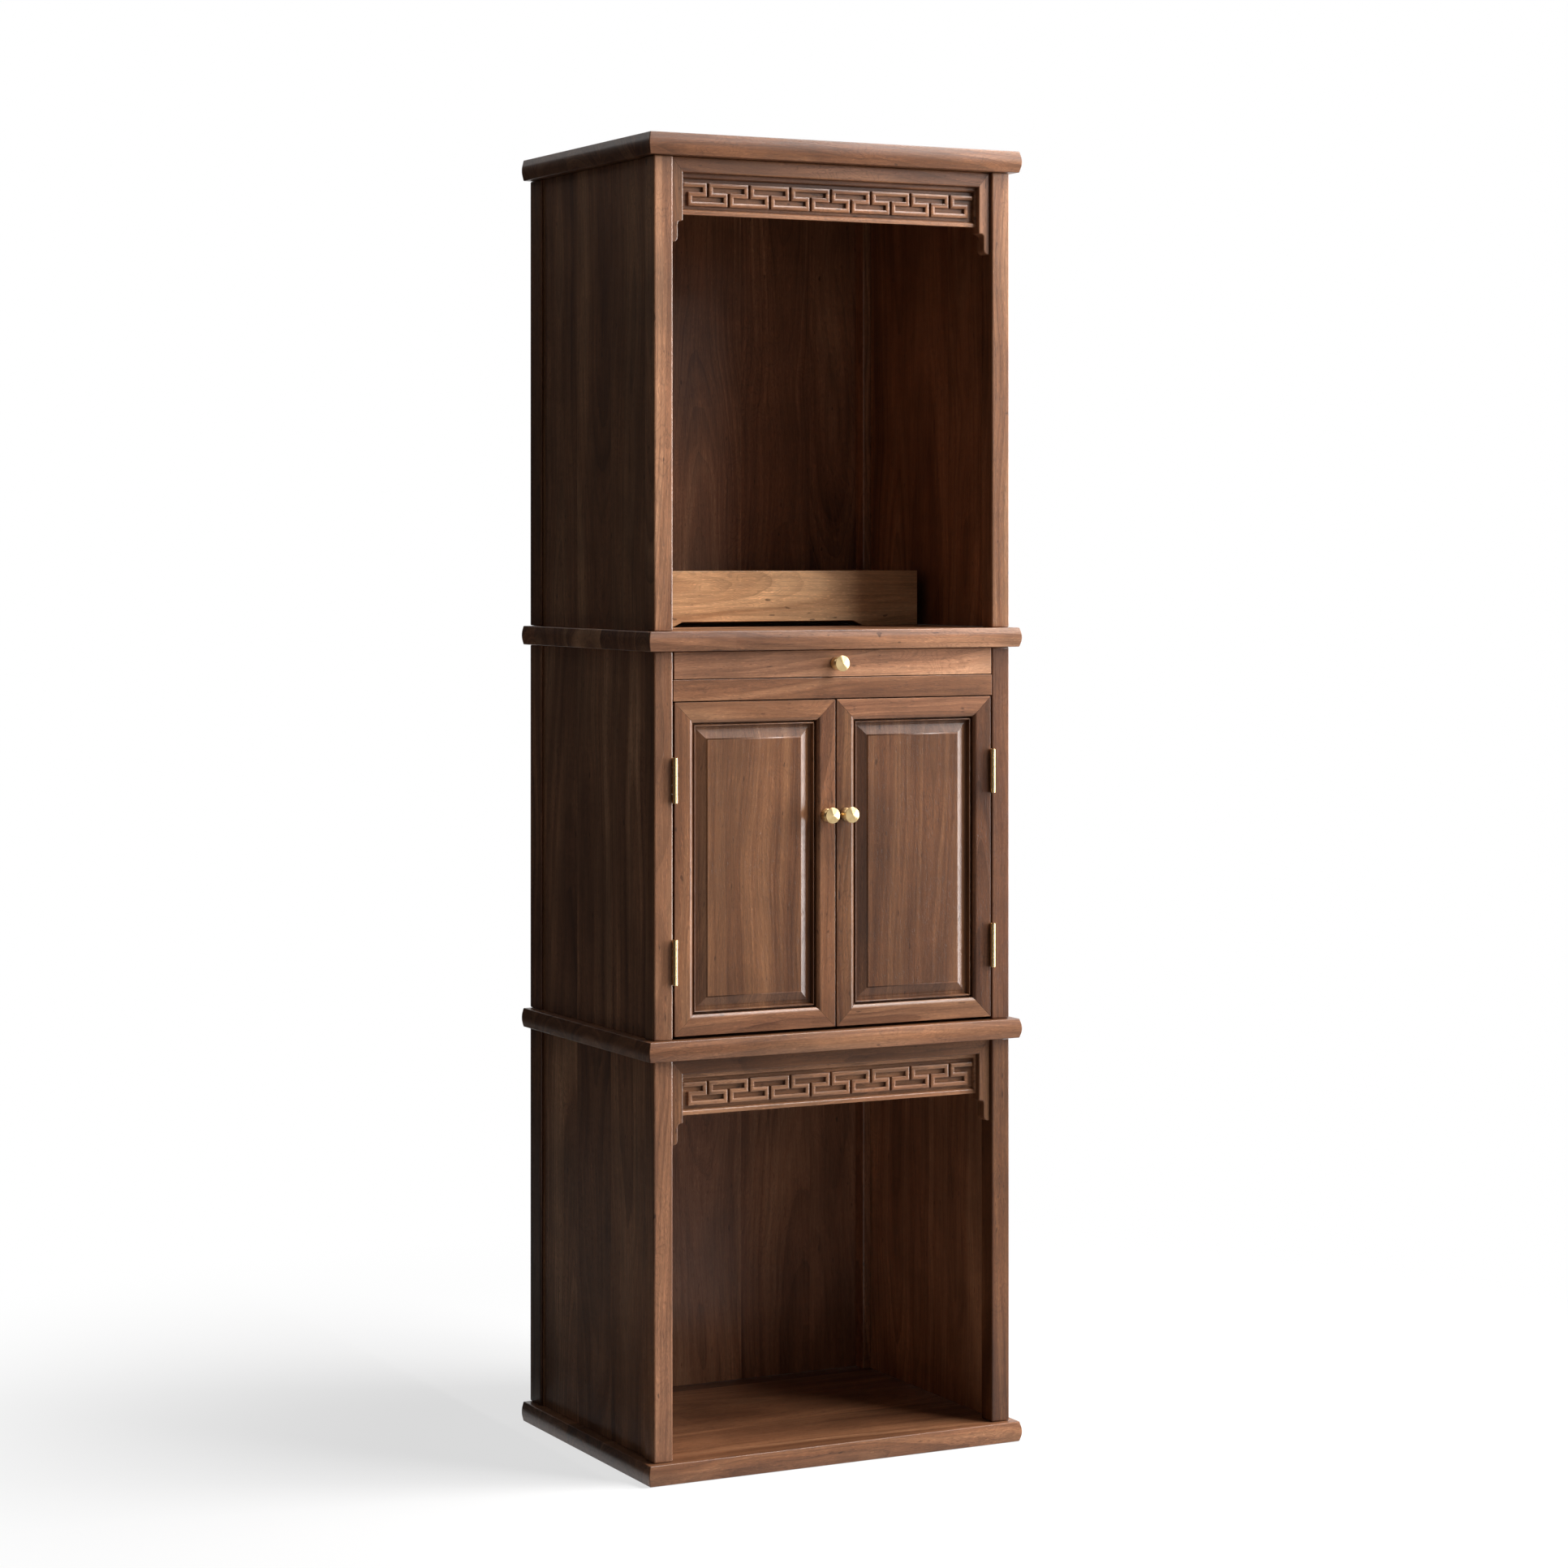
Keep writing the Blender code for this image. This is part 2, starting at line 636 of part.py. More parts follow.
def make_door_panel(side, sign, pivot, opening, ys):
    """Make a raised panel: stepped field, sloping margin and tongue, seen from the front."""
    (u0, v0), (u1, v1) = opening
    field_y, tongue_y, back_y = ys
    tongue = DOOR_TONGUE_L
    low = (u0 - tongue, tongue_y, v0 - tongue)
    bm = bmesh.new()
    add_box(bm, *mirror_box(low, (u1 + tongue, back_y, v1 + tongue), sign))
    panel = make(side + "_door_panel", bm, WALNUT, pivot)
    levels = [(GAP, tongue_y + OVERCUT), (GAP, tongue_y - GAP)]
    levels += [(DOOR_BEVEL_W, field_y + DOOR_FIELD_STEP), (DOOR_BEVEL_W, field_y)]
    margin = bmesh.new()
    rims = []
    for inset, y in levels:
        verts = [margin.verts.new((-sign * u, y, v)) for u, v in rectangle(*opening, inset)]
        rims.append([margin.edges.new((verts[i - 1], verts[i])) for i in range(len(verts))])
    for outer, inner in zip(rims, rims[1:]):
        bmesh.ops.bridge_loops(margin, edges=outer + inner)
    for rim in (rims[0], rims[-1]):
        bmesh.ops.contextual_create(margin, geom=rim)
    bmesh.ops.recalc_face_normals(margin, faces=margin.faces)
    combine(panel, make_tool(side + "_door_panel_field", margin, pivot), "UNION")


def make_hinges(side, sign, pivot):
    """Make the two butt hinges of a door, each a frame leaf with its pin and a door leaf."""
    for spot, middle in (("lower", HINGE_FROM_BOTTOM), ("upper", DOOR_H - HINGE_FROM_TOP)):
        z = middle - HINGE_H / 2
        name = side + "_" + spot + "_hinge"
        fixed = make_pivot(name + "_post", pivot.location)
        frame_leaf = make_leaf(name + "_frame_leaf", fixed, sign, z, 0)
        pin = bmesh.new()
        add_cylinder(pin, PIN_R, z + GAP, z + HINGE_H - GAP, BARREL_STEPS)
        combine(frame_leaf, make_tool(name + "_pin", pin, fixed), "UNION")
        door_leaf = make_leaf(name + "_door_leaf", pivot, -sign, z, 1)
        bore = bmesh.new()
        add_cylinder(bore, PIN_R + GAP, z - OVERCUT, z + HINGE_H + OVERCUT, BARREL_STEPS)
        combine(door_leaf, make_tool(name + "_bore", bore, pivot), "DIFFERENCE")


def make_leaf(name, parent, sign, z, first):
    """Make a thin leaf with tabs and every second knuckle of the barrel round the axis."""
    knuckle = HINGE_H / KNUCKLES
    root = BARREL_R + 2 * GAP
    outline = [(root + LEAF_D, z), (root + LEAF_D, z + HINGE_H), (root, z + HINGE_H)]
    knuckles = bmesh.new()
    for i in reversed(range(first, KNUCKLES, 2)):
        low = z + i * knuckle + GAP / 2
        high = low + knuckle - GAP
        add_cylinder(knuckles, BARREL_R, low, high, BARREL_STEPS)
        outline += [(root, high - GAP), (0, high - GAP), (0, low + GAP), (root, low + GAP)]
    outline.append((root, z))
    bm = bmesh.new()
    xs = sorted((sign * GAP / 2, sign * (GAP / 2 + LEAF_T)))
    add_prism(bm, outline, "X", xs[0], xs[1])
    leaf = make(name, bm, BRASS, parent)
    combine(leaf, make_tool(name + "_knuckles", knuckles, parent), "UNION")
    return leaf


def make_riser():
    """Make the loose step stand: a top board between a cut-out front and a plain back."""
    pivot = make_pivot("riser_slide", (0, BACK_IN_Y - RISER_REAR_GAP - RISER_D, UPPER_Z))
    half = POST_IN_X - RISER_SIDE_GAP
    slot = half - RISER_FOOT_W
    slope = slot - RISER_CUTOUT_SLOPE
    top = RISER_H
    right = [(slope, RISER_CUTOUT_H), (slot, GAP), (half, GAP), (half, top)]
    outline = right + [(-x, z) for x, z in reversed(right)]
    shelf_z = top - RISER_T - GAP
    rabbets = bmesh.new()
    low = (-half - OVERCUT, RISER_T - RISER_RABBET, shelf_z)
    add_box(rabbets, low, (half + OVERCUT, RISER_D - RISER_T + RISER_RABBET, top + OVERCUT))
    rabbets = make_tool("riser_rabbets", rabbets, pivot)
    bm = bmesh.new()
    add_prism(bm, outline, "Y", 0, RISER_T)
    combine(make("riser_front", bm, RISER_WALNUT, pivot), rabbets, "DIFFERENCE")
    bm = bmesh.new()
    add_box(bm, (-half, RISER_D - RISER_T, GAP), (half, RISER_D, top))
    combine(make("riser_back", bm, RISER_WALNUT, pivot), rabbets, "DIFFERENCE")
    bm = bmesh.new()
    edge = RISER_T - RISER_RABBET + GAP
    add_box(bm, (-half, edge, top - RISER_T), (half, RISER_D - edge, top))
    make("riser_top", bm, RISER_WALNUT, pivot)


def main():
    """Build the whole cabinet."""
    clear_scene()
    make_carcass()
    make_tray_shelf()
    make_apron("lower", LOWER_WAIST_Z)
    make_apron("upper", CORNICE_Z)
    make_tray()
    for side, sign in sides():
        make_door(side, sign)
    make_riser()
    bpy.context.view_layer.update()


main()
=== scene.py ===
"""Shrine cabinet: walnut boards, fret aprons, framed doors and brass fittings.

Each piece is made over its solid in the packed frame, in metres, +Z up, the front facing -Y.
"""

import json
import math
import random
from contextlib import contextmanager
from functools import partial, reduce

import bmesh
import bpy
import numpy
from bpy.props import FloatProperty, FloatVectorProperty, IntProperty, PointerProperty
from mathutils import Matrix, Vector

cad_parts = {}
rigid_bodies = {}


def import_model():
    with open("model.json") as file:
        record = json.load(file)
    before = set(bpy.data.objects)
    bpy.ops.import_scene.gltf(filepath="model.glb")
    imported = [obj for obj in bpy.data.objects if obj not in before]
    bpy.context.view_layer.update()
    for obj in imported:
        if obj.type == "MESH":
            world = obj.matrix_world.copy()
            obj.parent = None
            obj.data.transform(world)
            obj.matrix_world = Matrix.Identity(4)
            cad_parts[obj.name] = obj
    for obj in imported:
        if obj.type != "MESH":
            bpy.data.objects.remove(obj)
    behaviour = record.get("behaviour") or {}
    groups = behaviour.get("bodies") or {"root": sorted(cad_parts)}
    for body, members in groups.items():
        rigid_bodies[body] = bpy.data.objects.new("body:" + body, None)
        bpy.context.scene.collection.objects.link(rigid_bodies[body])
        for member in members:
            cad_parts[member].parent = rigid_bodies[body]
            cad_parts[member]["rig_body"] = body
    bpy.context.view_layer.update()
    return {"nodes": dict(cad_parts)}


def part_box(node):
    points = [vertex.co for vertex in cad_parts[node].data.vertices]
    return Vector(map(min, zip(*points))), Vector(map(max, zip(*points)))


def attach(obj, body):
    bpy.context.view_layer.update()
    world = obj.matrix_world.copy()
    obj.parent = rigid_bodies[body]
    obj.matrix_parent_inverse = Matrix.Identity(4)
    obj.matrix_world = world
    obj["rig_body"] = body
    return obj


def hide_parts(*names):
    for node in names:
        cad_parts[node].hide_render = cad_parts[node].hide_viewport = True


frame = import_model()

bl_info = {
    "name": "Shrine cabinet",
    "version": (1, 0, 0),
    "blender": (4, 5, 0),
    "location": "3D View > Sidebar > Shrine cabinet",
    "description": "Makes a walnut shrine cabinet over its packed frame",
    "category": "Add Mesh",
}

X, Y, Z = 0, 1, 2

# Turns that face a new plane or circle along an axis
TURNS = {X: (0, math.pi / 2, 0), Y: (math.pi / 2, 0, 0), Z: (0, 0, 0)}

# Clearances between boards and in a mitre, and how near to a level counts as at it
GAP = 0.0003
MITRE_GAP = 0.0001
NEAR = 0.00004

# Angles in degrees up to which edges shade smoothly, on round and on faceted arrises,
# and from which an edge is an arris, on boards and on the aprons' curved ends
SMOOTH = 42
CRISP = 20
SHARP = 28
SHARP_CURVED = 34

WHITE = (1, 1, 1, 1)

# Least share of a face's normal along an axis for the face to look that way
FACING = 0.9

# Mouldings as steps that go in by a width and out by a height
OGEE = ((0.0007, -0.0002), (0.0009, -0.0007), (0.0008, -0.0013), (0.0006, -0.0018), (0.0003, -0.0020))
QUIRK = ((0.0007, 0.0), (0.0003, 0.0004))
FRET_BEAD = ((0.0002, 0.0004), (0.0019, 0.0008), (0.0006, 0.0001))
FIELD_STEP = ((0.0003, 0.0001), (0.0013, 0.0016), (0.0004, 0.0002))

# Straight steps in the bead of a door's panel and in the bell of a knob
BEAD_STEPS = 16
BELL_STEPS = 7

# The edge of a knob's cap, as shares of its radius with their heights from its rim
CAP_EDGE = ((0.80, -0.0030), (0.95, -0.0022), (1.0, -0.0012), (0.993, -0.0004), (0.955, 0.0002))

SIDES = ("left", "right")
STAGES = {
    "lower": ("base_slab", "lower_waist_slab"),
    "middle": ("lower_waist_slab", "upper_waist_slab"),
    "upper": ("upper_waist_slab", "cornice_slab"),
}

# A door frame's members, each with the axis of its grain and the way to the panel in a left door
DOOR_MEMBERS = {
    "hinge_stile": (Z, (1, 0, 0)),
    "meeting_stile": (Z, (-1, 0, 0)),
    "bottom_rail": (X, (0, 0, 1)),
    "top_rail": (X, (0, 0, -1)),
}

# Lights, each with its place, the height that it is aimed at and its size
LIGHTS = {
    "key": ((1.91, -2.00, 4.03), 1.0, (1.3, 1.0)),
    "fill": ((1.86, -2.52, 2.65), 1.0, (0.9, 0.9)),
    "edge": ((2.58, -1.22, 1.42), 1.1, (0.9, 2.7)),
    "top": ((1.40, -0.70, 3.90), 1.0, (1.3, 1.0)),
}
AIM_Y = -0.1

# How far out the floor begins to fade and is white, and how white it is before
FLOOR_FADE = (0.5, 1.7)
FLOOR_GLOW = 0.70

# The camera's place, its turn to the right in degrees and its frame's shift
CAMERA = (-2.4979, -4.9256, 1.3030)
CAMERA_TURN = 27.119
CAMERA_SHIFT = -0.15097

# How fast painted shade darkens the carving with its depth, for each metre
CARVED_PAINTED_SHADE = 75

# Boards that are darker or lighter than the rest, by how much: partly the wood's own tone and partly
# painted light and shade for how light falls on each board
BOARD_TONES_AND_PAINTED_LIGHT = (
    (0.40, ("right_door_meeting_stile", "lower_apron_rail")),
    (0.50, ("left_door_panel", "right_door_panel", "right_door_hinge_stile")),
    (0.50, ("lower_front_right_post", "upper_rear_left_post", "upper_apron_left_stile")),
    (0.60, ("upper_apron_rail", "lower_rear_left_post")),
    (0.75, ("cornice_slab", "left_door_meeting_stile")),
    (0.75, ("lower_apron_left_stile", "lower_apron_right_stile")),
    (0.90, ("left_door_hinge_stile", "left_door_top_rail", "right_door_bottom_rail", "upper_fret_panel")),
    (1.20, ("upper_back_panel", "upper_left_side_panel")),
    (1.20, ("upper_right_side_panel", "lower_right_side_panel")),
    (1.20, ("middle_front_left_post", "left_door_bottom_rail", "riser_front", "lower_fret_panel")),
    (1.45, ("upper_waist_slab", "lower_back_panel", "right_door_top_rail")),
    (1.45, ("upper_front_left_post", "lower_front_left_post", "middle_rear_left_post")),
    (1.75, ("tray_front", "upper_apron_right_stile")),
    (1.75, ("middle_left_side_panel", "lower_left_side_panel")),
)
TONES_AND_PAINTED_LIGHT = {node: tone for tone, nodes in BOARD_TONES_AND_PAINTED_LIGHT for node in nodes}


def length(name, description, default):
    """Give a property for a length."""
    return FloatProperty(
        name=name, description=description, default=default, min=0.0, unit="LENGTH", precision=5
    )


def share(name, description, default):
    """Give a property for a factor from 0 up."""
    return FloatProperty(name=name, description=description, default=default, min=0.0, precision=3)


def power(name, description, default):
    """Give a property for a light's power."""
    return FloatProperty(name=name, description=description, default=default, min=0.0, unit="POWER")


def tint(name, description, default):
    """Give a property for a colour."""
    return FloatVectorProperty(
        name=name, description=description, default=default, size=3, min=0.0, max=1.0, subtype="COLOR"
    )


class CarcassSettings(bpy.types.PropertyGroup):
    """Sizes of the slabs, posts, panels and shelf."""

    arris: length("Arris", "Rounding of the boards' arrises", 0.0009)
    post_arris: length("Post arris", "Rounding of the posts' arrises", 0.0021)
    slab_arris: length("Slab arris", "Rounding of the slabs' arrises", 0.0013)
    ridge: length("Ridge", "How far the slabs' ridge stands out, before it is rounded", 0.004)
    nose: length("Nose", "How far the slabs' ridge is rounded off on each side", 0.007)
    dust_board: length("Dust board", "Thickness of the board under the tray", 0.012)
    stave: length("Stave", "Width of the staves that wide boards are glued up from", 0.118)


class ApronSettings(bpy.types.PropertyGroup):
    """Sizes of the two aprons and their fret panels."""

    step_drop: length("Step drop", "Height of the stile's step under the fret panel", 0.010)
    step_width: length("Step width", "How far the stile's lower end steps in", 0.008)
    step_cove: length("Step cove", "Radius of the cove in the step", 0.005)
    tip_round: length("Tip round", "Radius of the stile's lower tip", 0.0072)
    arris: length("Arris", "Rounding of the aprons' arrises", 0.0016)
    border_side: length("Side border", "Width of the fret panel's border at its sides", 0.005)
    border_height: length("Border", "Height of the fret panel's border above and below", 0.0085)
    bead: length("Fret bead", "Width of the fret's bead", 0.0060)
    half_rise: length("Half rise", "Distance between the fret's levels", 0.0133)
    long_run: length("Long run", "Length of the fret's upper and lower runs", 0.05525)
    back_run: length("Back run", "Length of the fret's runs back at middle level", 0.02275)
    relief: length("Relief", "Height of the fret's bead before it is rounded", 0.0036)


class DoorSettings(bpy.types.PropertyGroup):
    """Sizes of the door frames and their raised panels."""

    mould: length("Moulding", "Width of the moulded inner edge of the frame", 0.0045)
    mould_depth: length("Moulding depth", "How far the moulded edge falls back", 0.003)
    quirk: length("Quirk", "Width of the groove between frame and bead", 0.0016)
    bead: length("Bead", "Width of the bead round the panel", 0.0038)
    bead_rise: length("Bead rise", "Height of the bead round the panel", 0.0069)
    flat: length("Flat", "Width of the level strip inside the bead", 0.004)
    margin: length("Margin", "Width of the panel's sloping margin", 0.0128)
    depth: length("Depth", "How far the panel's lowest level lies behind the frame", 0.0109)
    field: length("Field", "How far the panel's field lies behind the frame", 0.0044)


class FittingSettings(bpy.types.PropertyGroup):
    """Sizes of the knobs and hinges."""

    neck: length("Neck", "Radius of a knob's neck", 0.0052)
    flange: length("Flange", "Radius of a knob's base", 0.0092)
    cone: length("Cone", "Height of the shallow cone on a knob's cap", 0.0022)
    knuckles: IntProperty(name="Knuckles", description="Knuckles of a hinge", default=5, min=3)
    knuckle_ease: length("Knuckle ease", "Rounding of the knuckles' ends", 0.00035)
    leaf: length("Leaf", "Thickness of a hinge leaf", 0.0008)


class RiserSettings(bpy.types.PropertyGroup):
    """Sizes of the step stand in the niche."""

    rabbet: length("Rabbet", "Depth of the rabbets that hold the top board", 0.007)
    foot: length("Foot", "Width of the front board's feet", 0.093)
    slot: length("Slot", "Height of the slot under the front board", 0.0075)
    slope: length("Slope", "Length of the slot's sloping ends", 0.016)


class WalnutSettings(bpy.types.PropertyGroup):
    """Colours and scale of the walnut."""

    dark: tint("Dark", "Dark heartwood streaks", (0.081, 0.0300, 0.0135))
    middle: tint("Middle", "Main colour of the walnut", (0.170, 0.0715, 0.0330))
    light: tint("Light", "Pale bands in the walnut", (0.290, 0.1430, 0.0720))
    riser_dark: tint("Riser dark", "Dark streaks of the riser's walnut", (0.28, 0.135, 0.058))
    riser_middle: tint("Riser middle", "Main colour of the riser's walnut", (0.48, 0.264, 0.127))
    riser_light: tint("Riser light", "Pale bands of the riser's walnut", (0.61, 0.368, 0.192))
    riser_coarse: share("Riser coarseness", "How strong the riser's pores and fibres are", 0.45)
    ring: length("Ring", "Spacing of the growth rings", 0.0068)
    pore_length: length("Pore length", "Length of the open pores", 0.0105)
    pore_width: length("Pore width", "Width of the open pores", 0.0010)


class BrassSettings(bpy.types.PropertyGroup):
    """Colours of the brass."""

    bright: tint("Bright", "Polished brass", (0.93, 0.68, 0.34))
    aged: tint("Aged", "Brass with a touch of tarnish", (0.64, 0.40, 0.13))


class StageSettings(bpy.types.PropertyGroup):
    """Camera, lights and floor."""

    lens: FloatProperty(name="Lens", description="Focal length in millimetres", default=86.006, min=1.0)
    key: power("Key light", "Power of the high key light", 98.0)
    fill: power("Fill light", "Power of the fill light in front", 43.0)
    edge: power("Edge light", "Power of the light at the right", 150.0)
    top: power("Top light", "Power of the light overhead", 86.0)
    ambient: share("Ambient", "Strength of the light from all round", 0.135)
    floor: tint("Floor", "Colour of the floor", (0.82, 0.82, 0.82))
    bounce: tint("Bounce", "Colour of the floor for the light that it throws back", (0.46, 0.46, 0.46))
    flag: tint("Flag", "Colour of the boards that keep the left side dark", (0.035, 0.035, 0.035))
    front_flag: tint("Front flag", "Light of the grey board that the fronts mirror", (0.18, 0.18, 0.18))
    floor_flag: tint("Floor flag", "Colour of the cloth on the floor at the left", (0.24, 0.22, 0.20))


def select_only(piece):
    """Select one piece and make it active."""
    bpy.ops.object.select_all(action="DESELECT")
    piece.select_set(True)
    bpy.context.view_layer.objects.active = piece


def add_ready(node):
    """Name the primitive that was just added and put its place into its mesh."""
    piece = bpy.context.object
    bpy.ops.object.transform_apply(location=True, rotation=True, scale=True)
    piece.name = node + "_dressed"
    piece.data.name = piece.name
    return piece


def add_block(node, low, high):
    """Add a cube at a board's size and place."""
    low = Vector(low)
    high = Vector(high)
    bpy.ops.mesh.primitive_cube_add(size=1.0, location=(low + high) / 2)
    bpy.context.object.scale = high - low
    return add_ready(node)


def add_sheet(node, axis, low, high):
    """Add a plane across the low end of a box, to be cut to a section and drawn out."""
    low = Vector(low)
    high = Vector(high)
    size = high - low
    place = (low + high) / 2
    place[axis] = low[axis]
    spans = {X: (size.z, size.y, 1), Y: (size.x, size.z, 1), Z: (size.x, size.y, 1)}
    bpy.ops.mesh.primitive_plane_add(size=1.0, location=place, rotation=TURNS[axis])
    bpy.context.object.scale = spans[axis]
    return add_ready(node)


@contextmanager
def editing(piece):
    """Work on one piece's mesh in edit mode."""
    select_only(piece)
    bpy.ops.object.mode_set(mode="EDIT")
    yield
    bpy.ops.object.mode_set(mode="OBJECT")


def pick(piece, kind, test):
    """Select the vertices, edges or faces that pass a test."""
    bpy.ops.mesh.select_mode(type=kind)
    bpy.ops.mesh.select_all(action="DESELECT")
    bm = bmesh.from_edit_mesh(piece.data)
    items = {"VERT": bm.verts, "EDGE": bm.edges, "FACE": bm.faces}[kind]
    found = [item for item in items if test(item)]
    if not found:
        raise RuntimeError(piece.name + " has nothing to select there")
    for item in found:
        item.select_set(True)
    bm.select_flush_mode()
    bmesh.update_edit_mesh(piece.data)


def pick_faces(piece, test):
    """Select the faces whose middle and normal pass a test."""
    pick(piece, "FACE", lambda face: test(face.calc_center_median(), face.normal))


def pick_edges(piece, test):
    """Select the edges of which both ends pass a test."""
    pick(piece, "EDGE", lambda edge: all(test(vert.co) for vert in edge.verts))


def pick_points(piece, test):
    """Select the vertices that pass a test."""
    pick(piece, "VERT", lambda vert: test(vert.co))


def at(value, level):
    """Tell whether a coordinate lies at a level."""
    return abs(value - level) < NEAR


def along_axis(axis, size=1.0):
    """Give a vector along an axis."""
    vector = Vector((0, 0, 0))
    vector[axis] = size
    return vector


def cut(point, normal, clear=False):
    """Cut what is selected with a plane, and clear and close what lies in front of it."""
    bpy.ops.mesh.bisect(plane_co=point, plane_no=normal, clear_outer=clear, use_fill=clear)


def cut_all(point, normal, clear=False):
    """Cut the whole mesh with a plane."""
    bpy.ops.mesh.select_all(action="SELECT")
    cut(point, normal, clear)


def cut_level(axis, level):
    """Cut the whole mesh square to an axis."""
    cut_all(along_axis(axis, level), along_axis(axis))


def pull(offset):
    """Extrude what is selected."""
    bpy.ops.mesh.extrude_region_move(TRANSFORM_OT_translate={"value": offset})


def set_out(steps):
    """Inset the selected faces again and again, each step with a width and a rise."""
    for width, rise in steps:
        bpy.ops.mesh.inset(thickness=width, depth=rise, use_even_offset=True, use_boundary=True)


def tidy_mesh():
    """Merge doubles, join flat faces and turn every face outwards."""
    bpy.ops.mesh.select_all(action="SELECT")
    bpy.ops.mesh.remove_doubles(threshold=NEAR / 4)
    bpy.ops.mesh.dissolve_limited(angle_limit=math.radians(0.5))
    bpy.ops.mesh.normals_make_consistent(inside=False)


def mitre(corner, end, inner, end_reach, inner_reach):
    """Cut a member's end along the line from its outer corner to its inner one."""
    normal = (Vector(end) * inner_reach + Vector(inner) * end_reach).normalized()
    cut_all(Vector(corner) - normal * MITRE_GAP / 2, normal, clear=True)


def apply(piece, modifier):
    """Apply a modifier to its piece."""
    bpy.context.view_layer.objects.active = piece
    bpy.ops.object.modifier_apply(modifier=modifier.name)


def round_arrises(piece, width, segments=2, limit=SHARP):
    """Round off every arris of a piece."""
    bevel = piece.modifiers.new("Eased arrises", "BEVEL")
    bevel.width = width
    bevel.segments = segments
    bevel.limit_method = "ANGLE"
    bevel.angle_limit = math.radians(limit)
    apply(piece, bevel)


def even_shading(piece, angle=SMOOTH):
    """Shade edges smoothly up to an angle and leave flat faces flat."""
    select_only(piece)
    bpy.ops.object.shade_smooth_by_angle(angle=math.radians(angle))
    shading = piece.modifiers.new("Even shading", "WEIGHTED_NORMAL")
    shading.keep_sharp = True
    apply(piece, shading)


def points_of(piece):
    """Give a piece's points as an array."""
    points = numpy.empty(len(piece.data.vertices) * 3)
    piece.data.vertices.foreach_get("co", points)
    return points.reshape(-1, 3)


def store(piece, name, vectors):
    """Store a vector on each point of a piece."""
    layer = piece.data.attributes.new(name, "FLOAT_VECTOR", "POINT")
    layer.data.foreach_set("vector", numpy.ascontiguousarray(vectors, dtype=numpy.float32).ravel())


def lay_grain(piece, node, along, stave):
    """Store each point's place in its board: along the grain, across it and through it."""
    points = points_of(piece)
    spread = points.max(0) - points.min(0)
    others = [axis for axis in (X, Y, Z) if axis != along]
    across, through = sorted(others, key=lambda axis: -spread[axis])
    middle = (points.max(0) + points.min(0)) / 2
    store(piece, "board", (points - middle)[:, [along, across, through]])
    # Each board's tone, partly its own and partly painted light and shade
    plank = numpy.tile((random.Random(node).random(), TONES_AND_PAINTED_LIGHT.get(node, 1.0), stave), (len(points), 1))
    # A fret's points darken with their depth in the carving: painted shade in the recesses
    if "fret" in node:
        deep = points[:, Y] - points[:, Y].min()
        plank[:, 1] *= numpy.where(deep < spread[Y] - NEAR, 1 - CARVED_PAINTED_SHADE * deep, 1)
    store(piece, "plank", plank)


def hand_over(piece, node, finish):
    """Give a piece its finish and let it stand for its solid."""
    piece.data.materials.clear()
    piece.data.materials.append(finish)
    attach(piece, frame["nodes"][node]["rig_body"])
    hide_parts(node)


def finish_board(piece, node, along, stave=1.0):
    """Finish a walnut board with its grain along an axis."""
    lay_grain(piece, node, along, stave)
    slot = "riser_walnut" if node.startswith("riser") else "walnut"
    hand_over(piece, node, walnut(slot))


def complete(piece, node, arris, stave=1.0):
    """Round off a single board's arrises, even out its shading and finish it with its grain along X."""
    round_arrises(piece, arris, segments=3)
    even_shading(piece)
    finish_board(piece, node, X, stave)


def middle_of(node):
    """Give the middle of a solid's box."""
    low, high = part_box(node)
    return (low + high) / 2


def copy_piece(piece, first, node):
    """Copy a piece with a mesh of its own into another solid's place, mirrored on the other side."""
    select_only(piece)
    bpy.ops.object.duplicate()
    copy = bpy.context.object
    copy.name = node + "_dressed"
    copy.data.name = copy.name
    start = middle_of(first)
    with editing(copy):
        bpy.ops.mesh.select_all(action="SELECT")
        if ("right" in node) != ("right" in first):
            bpy.ops.transform.resize(value=(-1, 1, 1), center_override=(0, 0, 0))
            bpy.ops.mesh.normals_make_consistent(inside=False)
            start.x = -start.x
        bpy.ops.transform.translate(value=middle_of(node) - start)
    return copy


def set_out_copies(piece, first, others, angle=SMOOTH):
    """Copy a piece for each of its like, even out the shading and give all of them by solid."""
    pieces = {first: piece}
    for node in others:
        pieces[node] = copy_piece(piece, first, node)
    for made in pieces.values():
        even_shading(made, angle)
    return pieces.items()


def finish_boards(piece, first, others, along, stave=1.0, angle=SMOOTH):
    """Finish a board and its copies."""
    for node, board in set_out_copies(piece, first, others, angle):
        finish_board(board, node, along, stave)


